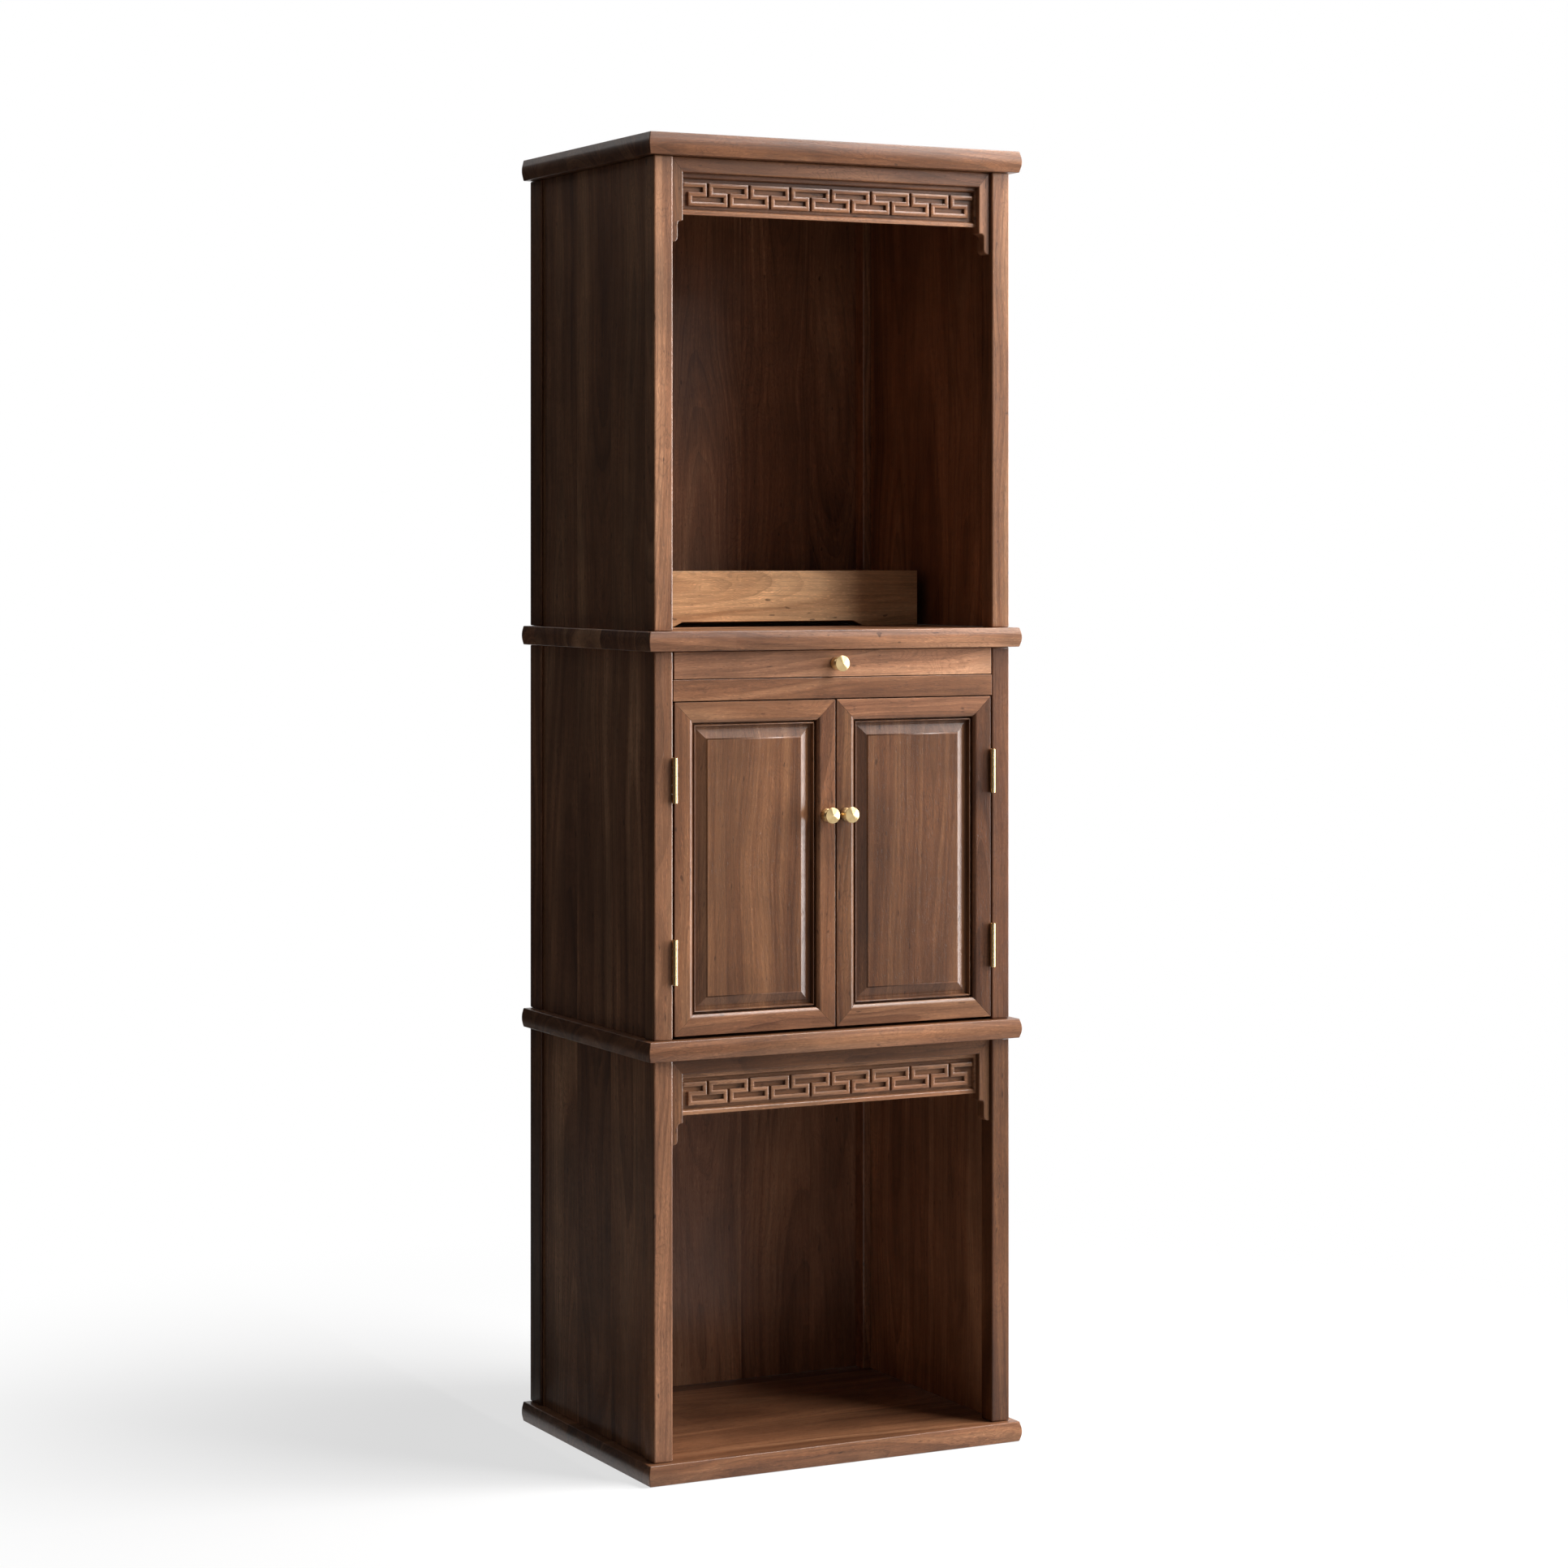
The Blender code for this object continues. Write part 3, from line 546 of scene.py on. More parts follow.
class NodeNet:
    """Sets out the shader nodes of a material or a world."""

    def __init__(self, holder):
        """Open the holder's nodes."""
        holder.use_nodes = True
        self.holder = holder
        self.tree = holder.node_tree
        self.shader = self.tree.nodes.get("Principled BSDF")

    def add(self, kind, feeds=(), **settings):
        """Add a node with its settings and its inputs by number."""
        node = self.tree.nodes.new(kind)
        for key, value in settings.items():
            setattr(node, key, value)
        for socket, value in feeds:
            self.feed(node.inputs[socket], value)
        return node

    def feed(self, socket, value):
        """Link or set one input."""
        if isinstance(value, bpy.types.NodeSocket):
            self.tree.links.new(value, socket)
        else:
            socket.default_value = value

    def surface(self, settings):
        """Link or set the shader's inputs by name."""
        for name, value in settings.items():
            self.feed(self.shader.inputs[name], value)

    def math(self, operation, *values):
        """Add a math node."""
        return self.add("ShaderNodeMath", enumerate(values), operation=operation).outputs[0]

    def total(self, *values):
        """Add several numbers."""
        return reduce(partial(self.math, "ADD"), values)

    def product(self, *values):
        """Multiply several numbers."""
        return reduce(partial(self.math, "MULTIPLY"), values)

    def weighted(self, *pairs):
        """Add several numbers, each with a factor."""
        return self.total(*(self.math("MULTIPLY", value, factor) for value, factor in pairs))

    def level(self, value, amount, offset):
        """Multiply a number by an amount and add an offset."""
        return self.math("MULTIPLY_ADD", value, amount, offset)

    def swing(self, value, amount):
        """Turn a number from 0 to 1 into one swinging round 0."""
        return self.level(value, amount, -amount / 2)

    def attribute(self, name):
        """Read a stored vector's three numbers."""
        vector = self.add("ShaderNodeAttribute", attribute_name=name).outputs["Vector"]
        return self.add("ShaderNodeSeparateXYZ", [(0, vector)]).outputs[:]

    def vector(self, *values):
        """Combine three numbers, each with a factor."""
        parts = [self.math("MULTIPLY", value, factor) for value, factor in values]
        return self.add("ShaderNodeCombineXYZ", enumerate(parts)).outputs[0]

    def noise(self, vector, detail=2.0, roughness=0.5, scale=1.0):
        """Add a noise and give its number and its three colours."""
        feeds = [("Vector", vector), ("Scale", scale), ("Detail", detail), ("Roughness", roughness)]
        made = self.add("ShaderNodeTexNoise", feeds)
        return made.outputs[0], self.add("ShaderNodeSeparateColor", [(0, made.outputs[1])]).outputs[:]

    def between(self, value, low, high, to_low=0.0, to_high=1.0):
        """Map a range smoothly to another."""
        feeds = [(0, value), (1, low), (2, high), (3, to_low), (4, to_high)]
        return self.add("ShaderNodeMapRange", feeds, interpolation_type="SMOOTHSTEP").outputs[0]

    def ramp(self, value, stops):
        """Add a colour ramp."""
        made = self.add("ShaderNodeValToRGB", [(0, value)])
        elements = made.color_ramp.elements
        stops = list(stops)
        while len(elements) < len(stops):
            elements.new(0.5)
        for element, (place, colour) in zip(elements, stops):
            element.position = place
            element.color = (*colour, 1.0)
        return made.outputs[0]

    def shade(self, colour, value):
        """Multiply a colour by a number."""
        return self.add("ShaderNodeVectorMath", [(0, colour), (3, value)], operation="SCALE").outputs[0]

    def blend(self, factor, first, second):
        """Mix two colours."""
        feeds = [(0, factor), (6, first), (7, second)]
        return self.add("ShaderNodeMix", feeds, data_type="RGBA").outputs[2]

    def bump(self, height, strength, distance):
        """Raise the surface's normal by a height."""
        feeds = [("Height", height), ("Strength", strength), ("Distance", distance)]
        raised = self.add("ShaderNodeBump", feeds).outputs[0]
        self.surface({"Normal": raised})
        return raised


def walnut(name):
    """Give the walnut: rings round a pith, bands, fibres and pores, all laid along the board."""
    made = bpy.data.materials.get(name + "_finish")
    if made:
        return made
    wood = bpy.context.scene.shrine_walnut
    colours = (wood.dark, wood.middle, wood.light)
    coarse = 1.0
    if name == "riser_walnut":
        colours = (wood.riser_dark, wood.riser_middle, wood.riser_light)
        coarse = wood.riser_coarse
    net = NodeNet(bpy.data.materials.new(name + "_finish"))
    along, across, through = net.attribute("board")
    seed, tone, stave = net.attribute("plank")
    index = net.math("ROUND", net.math("DIVIDE", across, stave))
    spot = net.vector((net.weighted((index, 1.0), (seed, 91.3)), 1.7), (seed, 47.1), (index, 1.0))
    picked = net.add("ShaderNodeTexWhiteNoise", [(0, spot)], noise_dimensions="3D").outputs["Color"]
    first, second, third = net.add("ShaderNodeSeparateColor", [(0, picked)]).outputs[:]
    run = net.weighted((along, 1.0), (seed, 11.0), (first, 5.0))
    straight = net.math("SUBTRACT", across, net.math("MULTIPLY", index, stave))

    # Rings round a wandering pith behind the board
    _, wander = net.noise(net.vector((run, 1.6), (straight, 4.0), (through, 4.0)))
    width = net.math("ADD", straight, net.swing(wander[2], 0.12 * coarse))

    def grain(lengthways, crossways, detail=1.0, roughness=0.5, track=run):
        """Give a noise in the wood, with its rates for each metre along and across the grain."""
        place = net.vector((track, lengthways), (width, crossways), (through, crossways))
        return net.noise(place, detail, roughness)[0]

    aside = net.total(straight, net.swing(second, 0.10), net.swing(wander[0], 0.085))
    tilt = net.math("MULTIPLY", along, net.swing(first, 0.10))
    behind = net.total(through, net.level(third, 0.06, 0.02), net.swing(wander[1], 0.06), tilt)
    squares = net.total(net.math("MULTIPLY", aside, aside), net.math("MULTIPLY", behind, behind))
    radius = net.total(net.math("SQRT", squares), net.swing(grain(9.0, 40.0, 2.0), 0.005))
    ring = net.math("FRACT", net.math("DIVIDE", radius, wood.ring))

    def bands(outwards, lengthways, shift, detail=1.0, roughness=0.5):
        """Give a noise that follows the rings, with its rates for each metre and its shift by board."""
        place = net.vector((radius, outwards), (run, lengthways), (seed, shift))
        return net.noise(place, detail, roughness)[0]

    late = net.math("POWER", ring, 3.0)
    line = net.product(late, net.between(bands(30.0, 1.3, 5.0), 0.34, 0.60, 0.15, 1.0))

    # Bands that follow the rings, curled lines in places, fibres, pores and specks
    depth = net.weighted((bands(75.0, 1.1, 13.0, 3.0, 0.6), 0.52), (bands(17.0, 0.6, 29.0), 0.48))
    fibre = grain(15.0, 900.0, 2.0, 0.65)
    curled = net.math("PINGPONG", net.math("MULTIPLY", grain(13.0, 30.0, 1.5), 24.0), 0.5)
    slant = net.total(run, net.math("MULTIPLY", width, net.swing(third, 3.0)))
    zone = grain(4.2, 9.0, track=slant)
    curled = net.product(net.between(curled, 0.30, 0.5), net.between(zone, 0.50, 0.60))
    pore = net.between(grain(1 / wood.pore_length, 1 / wood.pore_width), 0.57, 0.68)
    pore = net.product(pore, net.between(ring, 0.95, 0.25, 0.45, 1.0))
    colour = net.ramp(depth, zip((0.37, 0.50, 0.64), colours))
    level = net.product(
        net.level(line, -0.42, 1.08),
        net.level(curled, -0.24, 1.02),
        net.level(grain(7.0, 240.0, 3.0, 0.7), 1.10, 0.45),
        net.level(fibre, 0.64 * coarse, 1 - 0.32 * coarse),
        net.level(pore, -0.36 * coarse, 1.05),
        net.between(zone, 0.36, 0.66, 0.80, 1.20),
        net.between(grain(150.0, 700.0, 0.0), 0.62, 0.78, 1.0, 1.28),
        net.between(grain(60.0, 190.0, 0.0), 0.79, 0.85, 1.0, 0.40),
        net.level(grain(26.0, 8.0), 0.36, 0.82),
        net.level(second, 0.20, 0.90),
    )

    # A darker tone, from the board's own tone and its painted light and shade, is also a redder one
    stain_and_shade = [net.math("POWER", tone, strength) for strength in (0.84, 1.0, 1.2)]
    stain_and_shade = net.add("ShaderNodeCombineXYZ", enumerate(stain_and_shade)).outputs[0]
    stained_and_shaded = net.add("ShaderNodeVectorMath", [(0, colour), (1, stain_and_shade)], operation="MULTIPLY").outputs[0]
    relief = net.weighted((fibre, 0.4), (pore, -0.8), (line, -0.25))
    net.surface({
        "Base Color": net.shade(stained_and_shaded, level),
        "Roughness": net.total(net.weighted((fibre, 0.16), (pore, 0.14)), 0.36),
        "Specular IOR Level": 0.15,
        "Coat Weight": 0.36,
        "Coat Roughness": 0.20,
        "Coat Normal": net.bump(relief, 0.35, 0.00022),
    })
    return net.holder


def brass(name, brushed):
    """Give polished or lathe-brushed brass, with a touch of tarnish."""
    made = bpy.data.materials.get(name)
    if made:
        return made
    metal = bpy.context.scene.shrine_brass
    net = NodeNet(bpy.data.materials.new(name))
    place = net.add("ShaderNodeTexCoord").outputs["Object"]
    cloud, _ = net.noise(place, detail=4.0, roughness=0.6, scale=160.0)
    speck, _ = net.noise(place, scale=2400.0)
    tarnish = net.between(cloud, 0.52, 0.80, 0.0, 0.55)
    net.surface({
        "Base Color": net.blend(tarnish, (*metal.bright, 1.0), (*metal.aged, 1.0)),
        "Metallic": 1.0,
        "Roughness": net.total(net.weighted((tarnish, 0.15), (speck, 0.08)), 0.26 if brushed else 0.10),
    })
    if not brushed:
        net.bump(speck, 0.12, 0.00005)
        return net.holder
    u, v, out = net.attribute("turning")
    from_axis = net.math("SQRT", net.total(net.math("MULTIPLY", u, u), net.math("MULTIPLY", v, v)))
    groove, _ = net.noise(net.vector((from_axis, 5200.0), (out, 900.0), (u, 30.0)), roughness=0.7)
    net.bump(groove, 0.22, 0.00008)
    spoke = net.add("ShaderNodeCombineXYZ", [(0, u), (2, v)]).outputs[0]
    turned = net.add("ShaderNodeVectorTransform", [(0, spoke)], convert_from="OBJECT", convert_to="WORLD")
    net.surface({"Tangent": turned.outputs[0], "Anisotropic": 0.82})
    return net.holder


def make_slab(node, settings):
    """Make a slab with a ridge along its front and sides."""
    low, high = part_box(node)
    middle = (low.z + high.z) / 2
    slope = math.atan2(settings.ridge, high.z - middle)
    cut_off = settings.nose * math.tan(slope / 2)
    back = settings.ridge - cut_off
    slab = add_block(node, (low.x + back, low.y + back, low.z), (high.x - back, high.y, high.z))
    with editing(slab):
        cut_level(Z, middle)
        pick_points(slab, lambda p: at(p.z, middle))
        wider = (high.x + cut_off) / (high.x - back)
        bpy.ops.transform.resize(value=(wider, 1, 1), center_override=(0, 0, middle))
        pick_points(slab, lambda p: at(p.z, middle) and p.y < 0)
        bpy.ops.transform.translate(value=(0, -settings.ridge, 0))
        pick_edges(slab, lambda p: at(p.z, middle) and (p.y < 0 or abs(p.x) > high.x - back))
        bpy.ops.mesh.bevel(offset=settings.nose, segments=6, affect="EDGES")
    complete(slab, node, settings.slab_arris, settings.stave)


def make_post(node, stage, front, settings):
    """Make a left post from its grooved section, between two slabs."""
    low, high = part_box(node)
    below, above = STAGES[stage]
    low.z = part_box(below)[1].z + GAP
    high.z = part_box(above)[0].z - GAP
    side_low, side_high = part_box(stage + "_left_side_panel")
    back_low, back_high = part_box(stage + "_back_panel")
    bed = side_low.y - GAP if front else side_high.y + GAP
    back_bed = back_low.x - GAP
    post = add_sheet(node, Z, low, high)
    with editing(post):
        cut_level(X, side_low.x - GAP)
        cut_level(X, side_high.x + GAP)
        cut_level(Y, bed)
        if not front:
            cut_level(X, back_bed)
            cut_level(Y, back_low.y - GAP)
            cut_level(Y, back_high.y + GAP)

        def in_groove(middle, _):
            deep = middle.y > bed if front else middle.y < bed
            if deep and side_low.x - GAP < middle.x < side_high.x + GAP:
                return True
            level = back_low.y - GAP < middle.y < back_high.y + GAP
            return not front and level and middle.x > back_bed

        pick_faces(post, in_groove)
        bpy.ops.mesh.delete(type="FACE")
        bpy.ops.mesh.select_all(action="SELECT")
        pull((0, 0, high.z - low.z))
        tidy_mesh()
    round_arrises(post, settings.post_arris)
    return post


def make_panel(node, settings):
    """Make a side or back panel with eased edges."""
    panel = add_block(node, *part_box(node))
    round_arrises(panel, settings.arris)
    return panel


def make_shelf(node, settings):
    """Make the rail under the tray with the dust board behind it."""
    low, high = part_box(node)
    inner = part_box("middle_front_right_post")[0].x - GAP
    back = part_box("left_door_bottom_rail")[1].y
    posts_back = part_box("middle_front_right_post")[1].y + GAP
    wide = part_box("middle_right_side_panel")[0].x - GAP
    board_z = high.z - settings.dust_board
    shelf = add_block(node, (-inner, low.y, low.z), (inner, back, high.z))
    with editing(shelf):
        cut_level(Z, board_z)
        pick_faces(shelf, lambda p, n: n.y > FACING and p.z > board_z)
        pull((0, posts_back - back, 0))
        pull((0, high.y - posts_back, 0))
        for side in (-1, 1):
            pick_faces(shelf, lambda p, n: side * n.x > FACING and p.y > posts_back)
            pull((side * (wide - inner), 0, 0))
        tidy_mesh()
    complete(shelf, node, settings.arris)


def make_apron_rail(node, settings):
    """Make the lower apron's top rail with mitred ends."""
    low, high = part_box(node)
    reach = high.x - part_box("lower_apron_right_stile")[0].x
    rail = add_block(node, low, high)
    round_arrises(rail, settings.arris)
    with editing(rail):
        for end, x in ((-1, low.x), (1, high.x)):
            mitre((x, 0, high.z), (end, 0, 0), (0, 0, -1), reach, high.z - low.z)
    return rail


def make_apron_stile(node, settings):
    """Make the lower apron's left stile with its stepped and rounded lower end."""
    low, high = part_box(node)
    rail_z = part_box("lower_apron_rail")[0].z
    step_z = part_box("lower_fret_panel")[0].z - settings.step_drop
    neck = high.x - settings.step_width
    stile = add_block(node, (low.x, low.y, step_z), high)
    with editing(stile):
        cut_level(X, neck)
        pick_faces(stile, lambda p, n: n.z < -FACING and p.x < neck)
        pull((0, 0, low.z - step_z))
        for z, radius in ((step_z, settings.step_cove), (low.z, settings.tip_round)):
            pick_edges(stile, lambda p: at(p.x, neck) and at(p.z, z))
            bpy.ops.mesh.bevel(offset=radius, segments=7, affect="EDGES")
        tidy_mesh()
    round_arrises(stile, settings.arris, limit=SHARP_CURVED)
    with editing(stile):
        mitre((low.x, 0, high.z), (0, 0, 1), (1, 0, 0), high.z - rail_z, high.x - low.x)
    return stile


def fret_path(middle, reach, settings):
    """Give the corner points of the fret's running key, from border to border."""
    top = middle + settings.half_rise
    bottom = middle - settings.half_rise
    back = settings.back_run
    advance = settings.long_run - back
    room = 2 * (reach - settings.bead)
    turns = math.floor((room - settings.long_run) / (2 * advance)) + 1
    x = back - (2 * advance * (turns - 1) + settings.long_run) / 2
    points = [(-reach, top)]
    for _ in range(turns):
        points += [(x, top), (x, middle), (x - back, middle), (x - back, bottom)]
        x += advance
        points += [(x, bottom), (x, middle), (x - back, middle), (x - back, top)]
        x += advance
    return points + [(reach, top)]


def make_fret_panel(node, settings):
    """Make the lower apron's carved panel: ogee border, sunk ground and a running key in rounded beads."""
    low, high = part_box(node)
    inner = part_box("lower_apron_right_stile")[0].x
    rail_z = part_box("lower_apron_rail")[0].z
    low.x = GAP - inner
    high = Vector((inner - GAP, high.y, rail_z - GAP))
    drop = sum(width for width, _ in OGEE + QUIRK)
    sunk = low.y - sum(rise for _, rise in OGEE + QUIRK)
    flat_x = inner - settings.border_side
    bottom = low.z + settings.border_height
    top = rail_z - settings.border_height
    panel = add_block(node, low, high)
    with editing(panel):
        for x in (-flat_x - drop, flat_x + drop):
            cut_level(X, min(max(x, low.x + NEAR), high.x - NEAR))
        for z in (bottom - drop, top + drop):
            cut_level(Z, z)
        pick_faces(panel, lambda p, n: n.y < -FACING and abs(p.x) < flat_x and bottom < p.z < top)
        set_out(OGEE + QUIRK)
        carve_fret(panel, sunk, flat_x, (bottom + top) / 2, settings)
        tidy_mesh()
    return panel


def carve_fret(panel, sunk, reach, middle, settings):
    """Raise the running key's beads from the panel's ground."""
    path = fret_path(middle, reach, settings)
    half = settings.bead / 2
    runs = []
    for (x0, z0), (x1, z1) in zip(path, path[1:]):
        runs.append((min(x0, x1) - half, max(x0, x1) + half, min(z0, z1) - half, max(z0, z1) + half))
    columns = sorted({round(x, 6) for run in runs for x in run[:2] if abs(x) < reach})
    rows = sorted({round(z, 6) for run in runs for z in run[2:]})

    def on_ground(p, n):
        return n.y < -FACING and at(p.y, sunk)

    for axis, levels in ((Z, rows), (X, columns)):
        for level in levels:
            pick_faces(panel, on_ground)
            cut(along_axis(axis, level), along_axis(axis))

    def on_run(p, n):
        inside = (left < p.x < right and low < p.z < high for left, right, low, high in runs)
        return on_ground(p, n) and any(inside)

    pick_faces(panel, on_run)
    pull((0, -settings.relief, 0))
    set_out(FRET_BEAD)


def add_rabbeted(node, bed, shelf_z, rear, upper):
    """Add a board along X with a rabbet cut from one of its long corners."""
    low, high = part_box(node)
    board = add_sheet(node, X, low, high)
    with editing(board):
        cut_level(Y, bed)
        cut_level(Z, shelf_z)
        pick_faces(board, lambda p, n: (p.y > bed) == rear and (p.z > shelf_z) == upper)
        bpy.ops.mesh.delete(type="FACE")
        bpy.ops.mesh.select_all(action="SELECT")
        pull((high.x - low.x, 0, 0))
        tidy_mesh()
    return board


def make_tray_front(node, arris):
    """Make the tray's front with the rabbet that takes the board."""
    board_low, board_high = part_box("tray_board")
    front = add_rabbeted(node, board_low.y - GAP, board_high.z + GAP, rear=True, upper=False)
    complete(front, node, arris)


def make_plain_board(node, arris):
    """Make a board with eased arrises."""
    complete(add_block(node, *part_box(node)), node, arris)


def make_door_member(node, along, inner, settings, arris):
    """Make a mitred stile or rail of a door with a moulded inner edge."""
    low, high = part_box(node)
    inner = Vector(inner)
    member = add_block(node, low, high)
    side = X if along == Z else Z
    outer = low[side] if inner[side] > 0 else high[side]
    lip = high[side] if inner[side] > 0 else low[side]
    reach = high[side] - low[side]
    line = lip - inner[side] * settings.mould
    with editing(member):
        cut_level(side, line)
        pick_edges(member, lambda p: at(p[side], lip) and at(p.y, low.y))
        bpy.ops.transform.translate(value=(0, settings.mould_depth, 0))
        pick_edges(member, lambda p: at(p[side], line) and at(p.y, low.y))
        bpy.ops.mesh.bevel(offset=settings.mould / 3, segments=4, affect="EDGES")
    round_arrises(member, arris)
    with editing(member):
        for level, sign in ((low[along], -1), (high[along], 1)):
            corner = along_axis(along, level) + along_axis(side, outer)
            mitre(corner, along_axis(along, sign), inner, reach, reach)
    return member


def make_door_panel(node, settings):
    """Make a left door's raised panel with a bead, a sloping margin and a stepped field."""
    hinge, meeting, bottom, top = (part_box("left_door_" + name) for name in DOOR_MEMBERS)
    low = Vector((hinge[1].x + GAP, bottom[0].y + settings.depth, bottom[1].z + GAP))
    high = Vector((meeting[0].x - GAP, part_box(node)[1].y, top[0].z - GAP))
    panel = add_block(node, low, high)
    slope = settings.depth - settings.field - sum(height for _, height in FIELD_STEP)
    turns = [math.pi * step / BEAD_STEPS for step in range(BEAD_STEPS + 1)]
    steps = [(settings.quirk, 0.0)]
    for start, end in zip(turns, turns[1:]):
        width = settings.bead * (math.cos(start) - math.cos(end)) / 2
        steps.append((width, settings.bead_rise * (math.sin(end) - math.sin(start))))
    steps += [(settings.flat, 0.0), (settings.margin, slope), *FIELD_STEP]
    with editing(panel):
        pick_faces(panel, lambda p, n: n.y < -FACING)
        set_out(steps)
        pick_edges(panel, lambda p: at(p.y, low.y) or at(p.y, low.y - slope))
        bpy.ops.mesh.mark_sharp()
    return panel


def make_knob(node, settings):
    """Turn a brass knob: bell base, neck and a slightly conical cap."""
    low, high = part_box(node)
    cap = (high.x - low.x) / 2
    axis = Vector(((low.x + high.x) / 2, 0, (low.z + high.z) / 2))
    seat = knob_seat(node)
    total = seat - low.y
    rim = total - settings.cone
    lip, bell = 0.0018, 0.0078
    flange, neck = settings.flange, settings.neck
    profile = [(flange * 0.97, 0.0003), (flange, 0.0009), (flange * 0.985, lip)]
    for step in range(1, BELL_STEPS + 1):
        turn = math.radians(90 * step / BELL_STEPS)
        profile.append((neck + (flange - neck) * math.cos(turn), lip + bell * math.sin(turn)))
    profile += [(neck * 0.98, rim - 0.0072), (neck * 1.15, rim - 0.0058)]
    profile += [(cap * part, rim + rise) for part, rise in CAP_EDGE]
    profile += [(cap * 0.5, total - 0.0009), (cap * 0.12, total - 0.0001), (cap * 0.04, total)]
    radius, out = profile[0]
    place = (axis.x, seat - out, axis.z)
    bpy.ops.mesh.primitive_circle_add(
        vertices=64, radius=radius, fill_type="NGON", location=place, rotation=TURNS[Y]
    )
    knob = add_ready(node)
    with editing(knob):
        bpy.ops.mesh.select_mode(type="FACE")
        bpy.ops.mesh.select_all(action="SELECT")
        for wider, further in profile[1:]:
            pull((0, out - further, 0))
            size = wider / radius
            bpy.ops.transform.resize(value=(size, 1, size), center_override=(axis.x, seat, axis.z))
            radius, out = wider, further
        bpy.ops.mesh.select_all(action="SELECT")
        bpy.ops.mesh.normals_make_consistent(inside=False)
    return knob


def lay_turning(knob, node):
    """Store each point's place round its knob's axis."""
    middle = middle_of(node)
    points = points_of(knob) - numpy.array((middle.x, knob_seat(node), middle.z))
    store(knob, "turning", points[:, [X, Z, Y]])


def knob_seat(node):
    """Give the face that a knob stands on."""
    if node == "tray_knob":
        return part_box("tray_front")[0].y - GAP
    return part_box(node.replace("knob", "meeting_stile"))[0].y - GAP


def make_leaf(node, side, first, settings):
    """Make a hinge leaf with its share of the barrel's knuckles."""
    low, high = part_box(node)
    radius = (high.x - low.x) / 2
    axis = Vector(((low.x + high.x) / 2, low.y + radius, low.z))
    tall = (high.z - low.z) / settings.knuckles
    inside = sorted((side * GAP / 2, side * (GAP / 2 + settings.leaf)))
    root = axis.y + radius + 2 * GAP
    leaf = add_block(node, (axis.x + inside[0], root, low.z), (axis.x + inside[1], high.y, high.z))
    starts = [low.z + number * tall for number in range(first, settings.knuckles, 2)]
    levels = [(z + GAP / 2, z + tall - GAP / 2) for z in starts]
    with editing(leaf):
        for bottom, top in levels:
            for z in (bottom + GAP, top - GAP):
                if low.z + NEAR < z < high.z - NEAR:
                    cut_level(Z, z)
        spans = [(bottom + GAP / 2, top - GAP / 2) for bottom, top in levels]
        pick_faces(leaf, lambda p, n: n.y < -FACING and any(bottom < p.z < top for bottom, top in spans))
        pull((0, axis.y - root, 0))
        tidy_mesh()
    for bottom, top in levels:
        place = (axis.x, axis.y, (bottom + top) / 2)
        bpy.ops.mesh.primitive_cylinder_add(vertices=40, radius=radius, depth=top - bottom, location=place)
        knuckle = add_ready(node + "_knuckle")
        with editing(knuckle):
            for z in (bottom, top):
                pick_edges(knuckle, lambda p: at(p.z, z))
                bpy.ops.mesh.bevel(offset=settings.knuckle_ease, segments=2, affect="EDGES")
        joined = leaf.modifiers.new("Knuckle", "BOOLEAN")
        joined.operation = "UNION"
        joined.solver = "EXACT"
        joined.object = knuckle
        apply(leaf, joined)
        bpy.data.objects.remove(knuckle, do_unlink=True)
    return leaf


def make_riser_front(node, settings, arris):
    """Make the riser's front board with its rabbet and the low slot under it."""
    low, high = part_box(node)
    shelf_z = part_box("riser_top")[0].z - GAP
    slot_x = high.x - settings.foot
    flat_x = slot_x - settings.slope
    front = add_rabbeted(node, high.y - settings.rabbet, shelf_z, rear=True, upper=True)
    with editing(front):
        for x in (-slot_x, -flat_x, flat_x, slot_x):
            cut_level(X, x)
        pick_points(front, lambda p: at(p.z, low.z) and abs(p.x) < flat_x + NEAR)
        bpy.ops.transform.translate(value=(0, 0, settings.slot))
        tidy_mesh()
    complete(front, node, arris)


def make_riser_back(node, settings, arris):
    """Make the riser's back board with its rabbet."""
    shelf_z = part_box("riser_top")[0].z - GAP
    back = add_rabbeted(node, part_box(node)[0].y + settings.rabbet, shelf_z, rear=False, upper=True)
    complete(back, node, arris)


class SHRINE_OT_slabs(bpy.types.Operator):
    """Make the base, the two waists and the cornice"""

    bl_idname = "shrine_cabinet.slabs"
    bl_label = "Slabs"

    def execute(self, context):
        for node in ("base_slab", "lower_waist_slab", "upper_waist_slab", "cornice_slab"):
            make_slab(node, context.scene.shrine_carcass)
        return {"FINISHED"}


class SHRINE_OT_posts(bpy.types.Operator):
    """Make the twelve grooved posts"""

    bl_idname = "shrine_cabinet.posts"
    bl_label = "Posts"

    def execute(self, context):
        for stage in STAGES:
            for place, front in (("front", True), ("rear", False)):
                left, right = (f"{stage}_{place}_{side}_post" for side in SIDES)
                post = make_post(left, stage, front, context.scene.shrine_carcass)
                finish_boards(post, left, (right,), Z, angle=CRISP)
        return {"FINISHED"}


class SHRINE_OT_panels(bpy.types.Operator):
    """Make the side panels and the back panels"""

    bl_idname = "shrine_cabinet.panels"
    bl_label = "Side and back panels"

    def execute(self, context):
        settings = context.scene.shrine_carcass
        for stage in STAGES:
            for places in (("left_side", "right_side"), ("back",)):
                first, *others = (f"{stage}_{place}_panel" for place in places)
                finish_boards(make_panel(first, settings), first, others, Z, settings.stave)
        return {"FINISHED"}


class SHRINE_OT_shelf(bpy.types.Operator):
    """Make the rail and dust board under the tray"""

    bl_idname = "shrine_cabinet.shelf"
    bl_label = "Tray shelf"

    def execute(self, context):
        make_shelf("tray_shelf", context.scene.shrine_carcass)
        return {"FINISHED"}


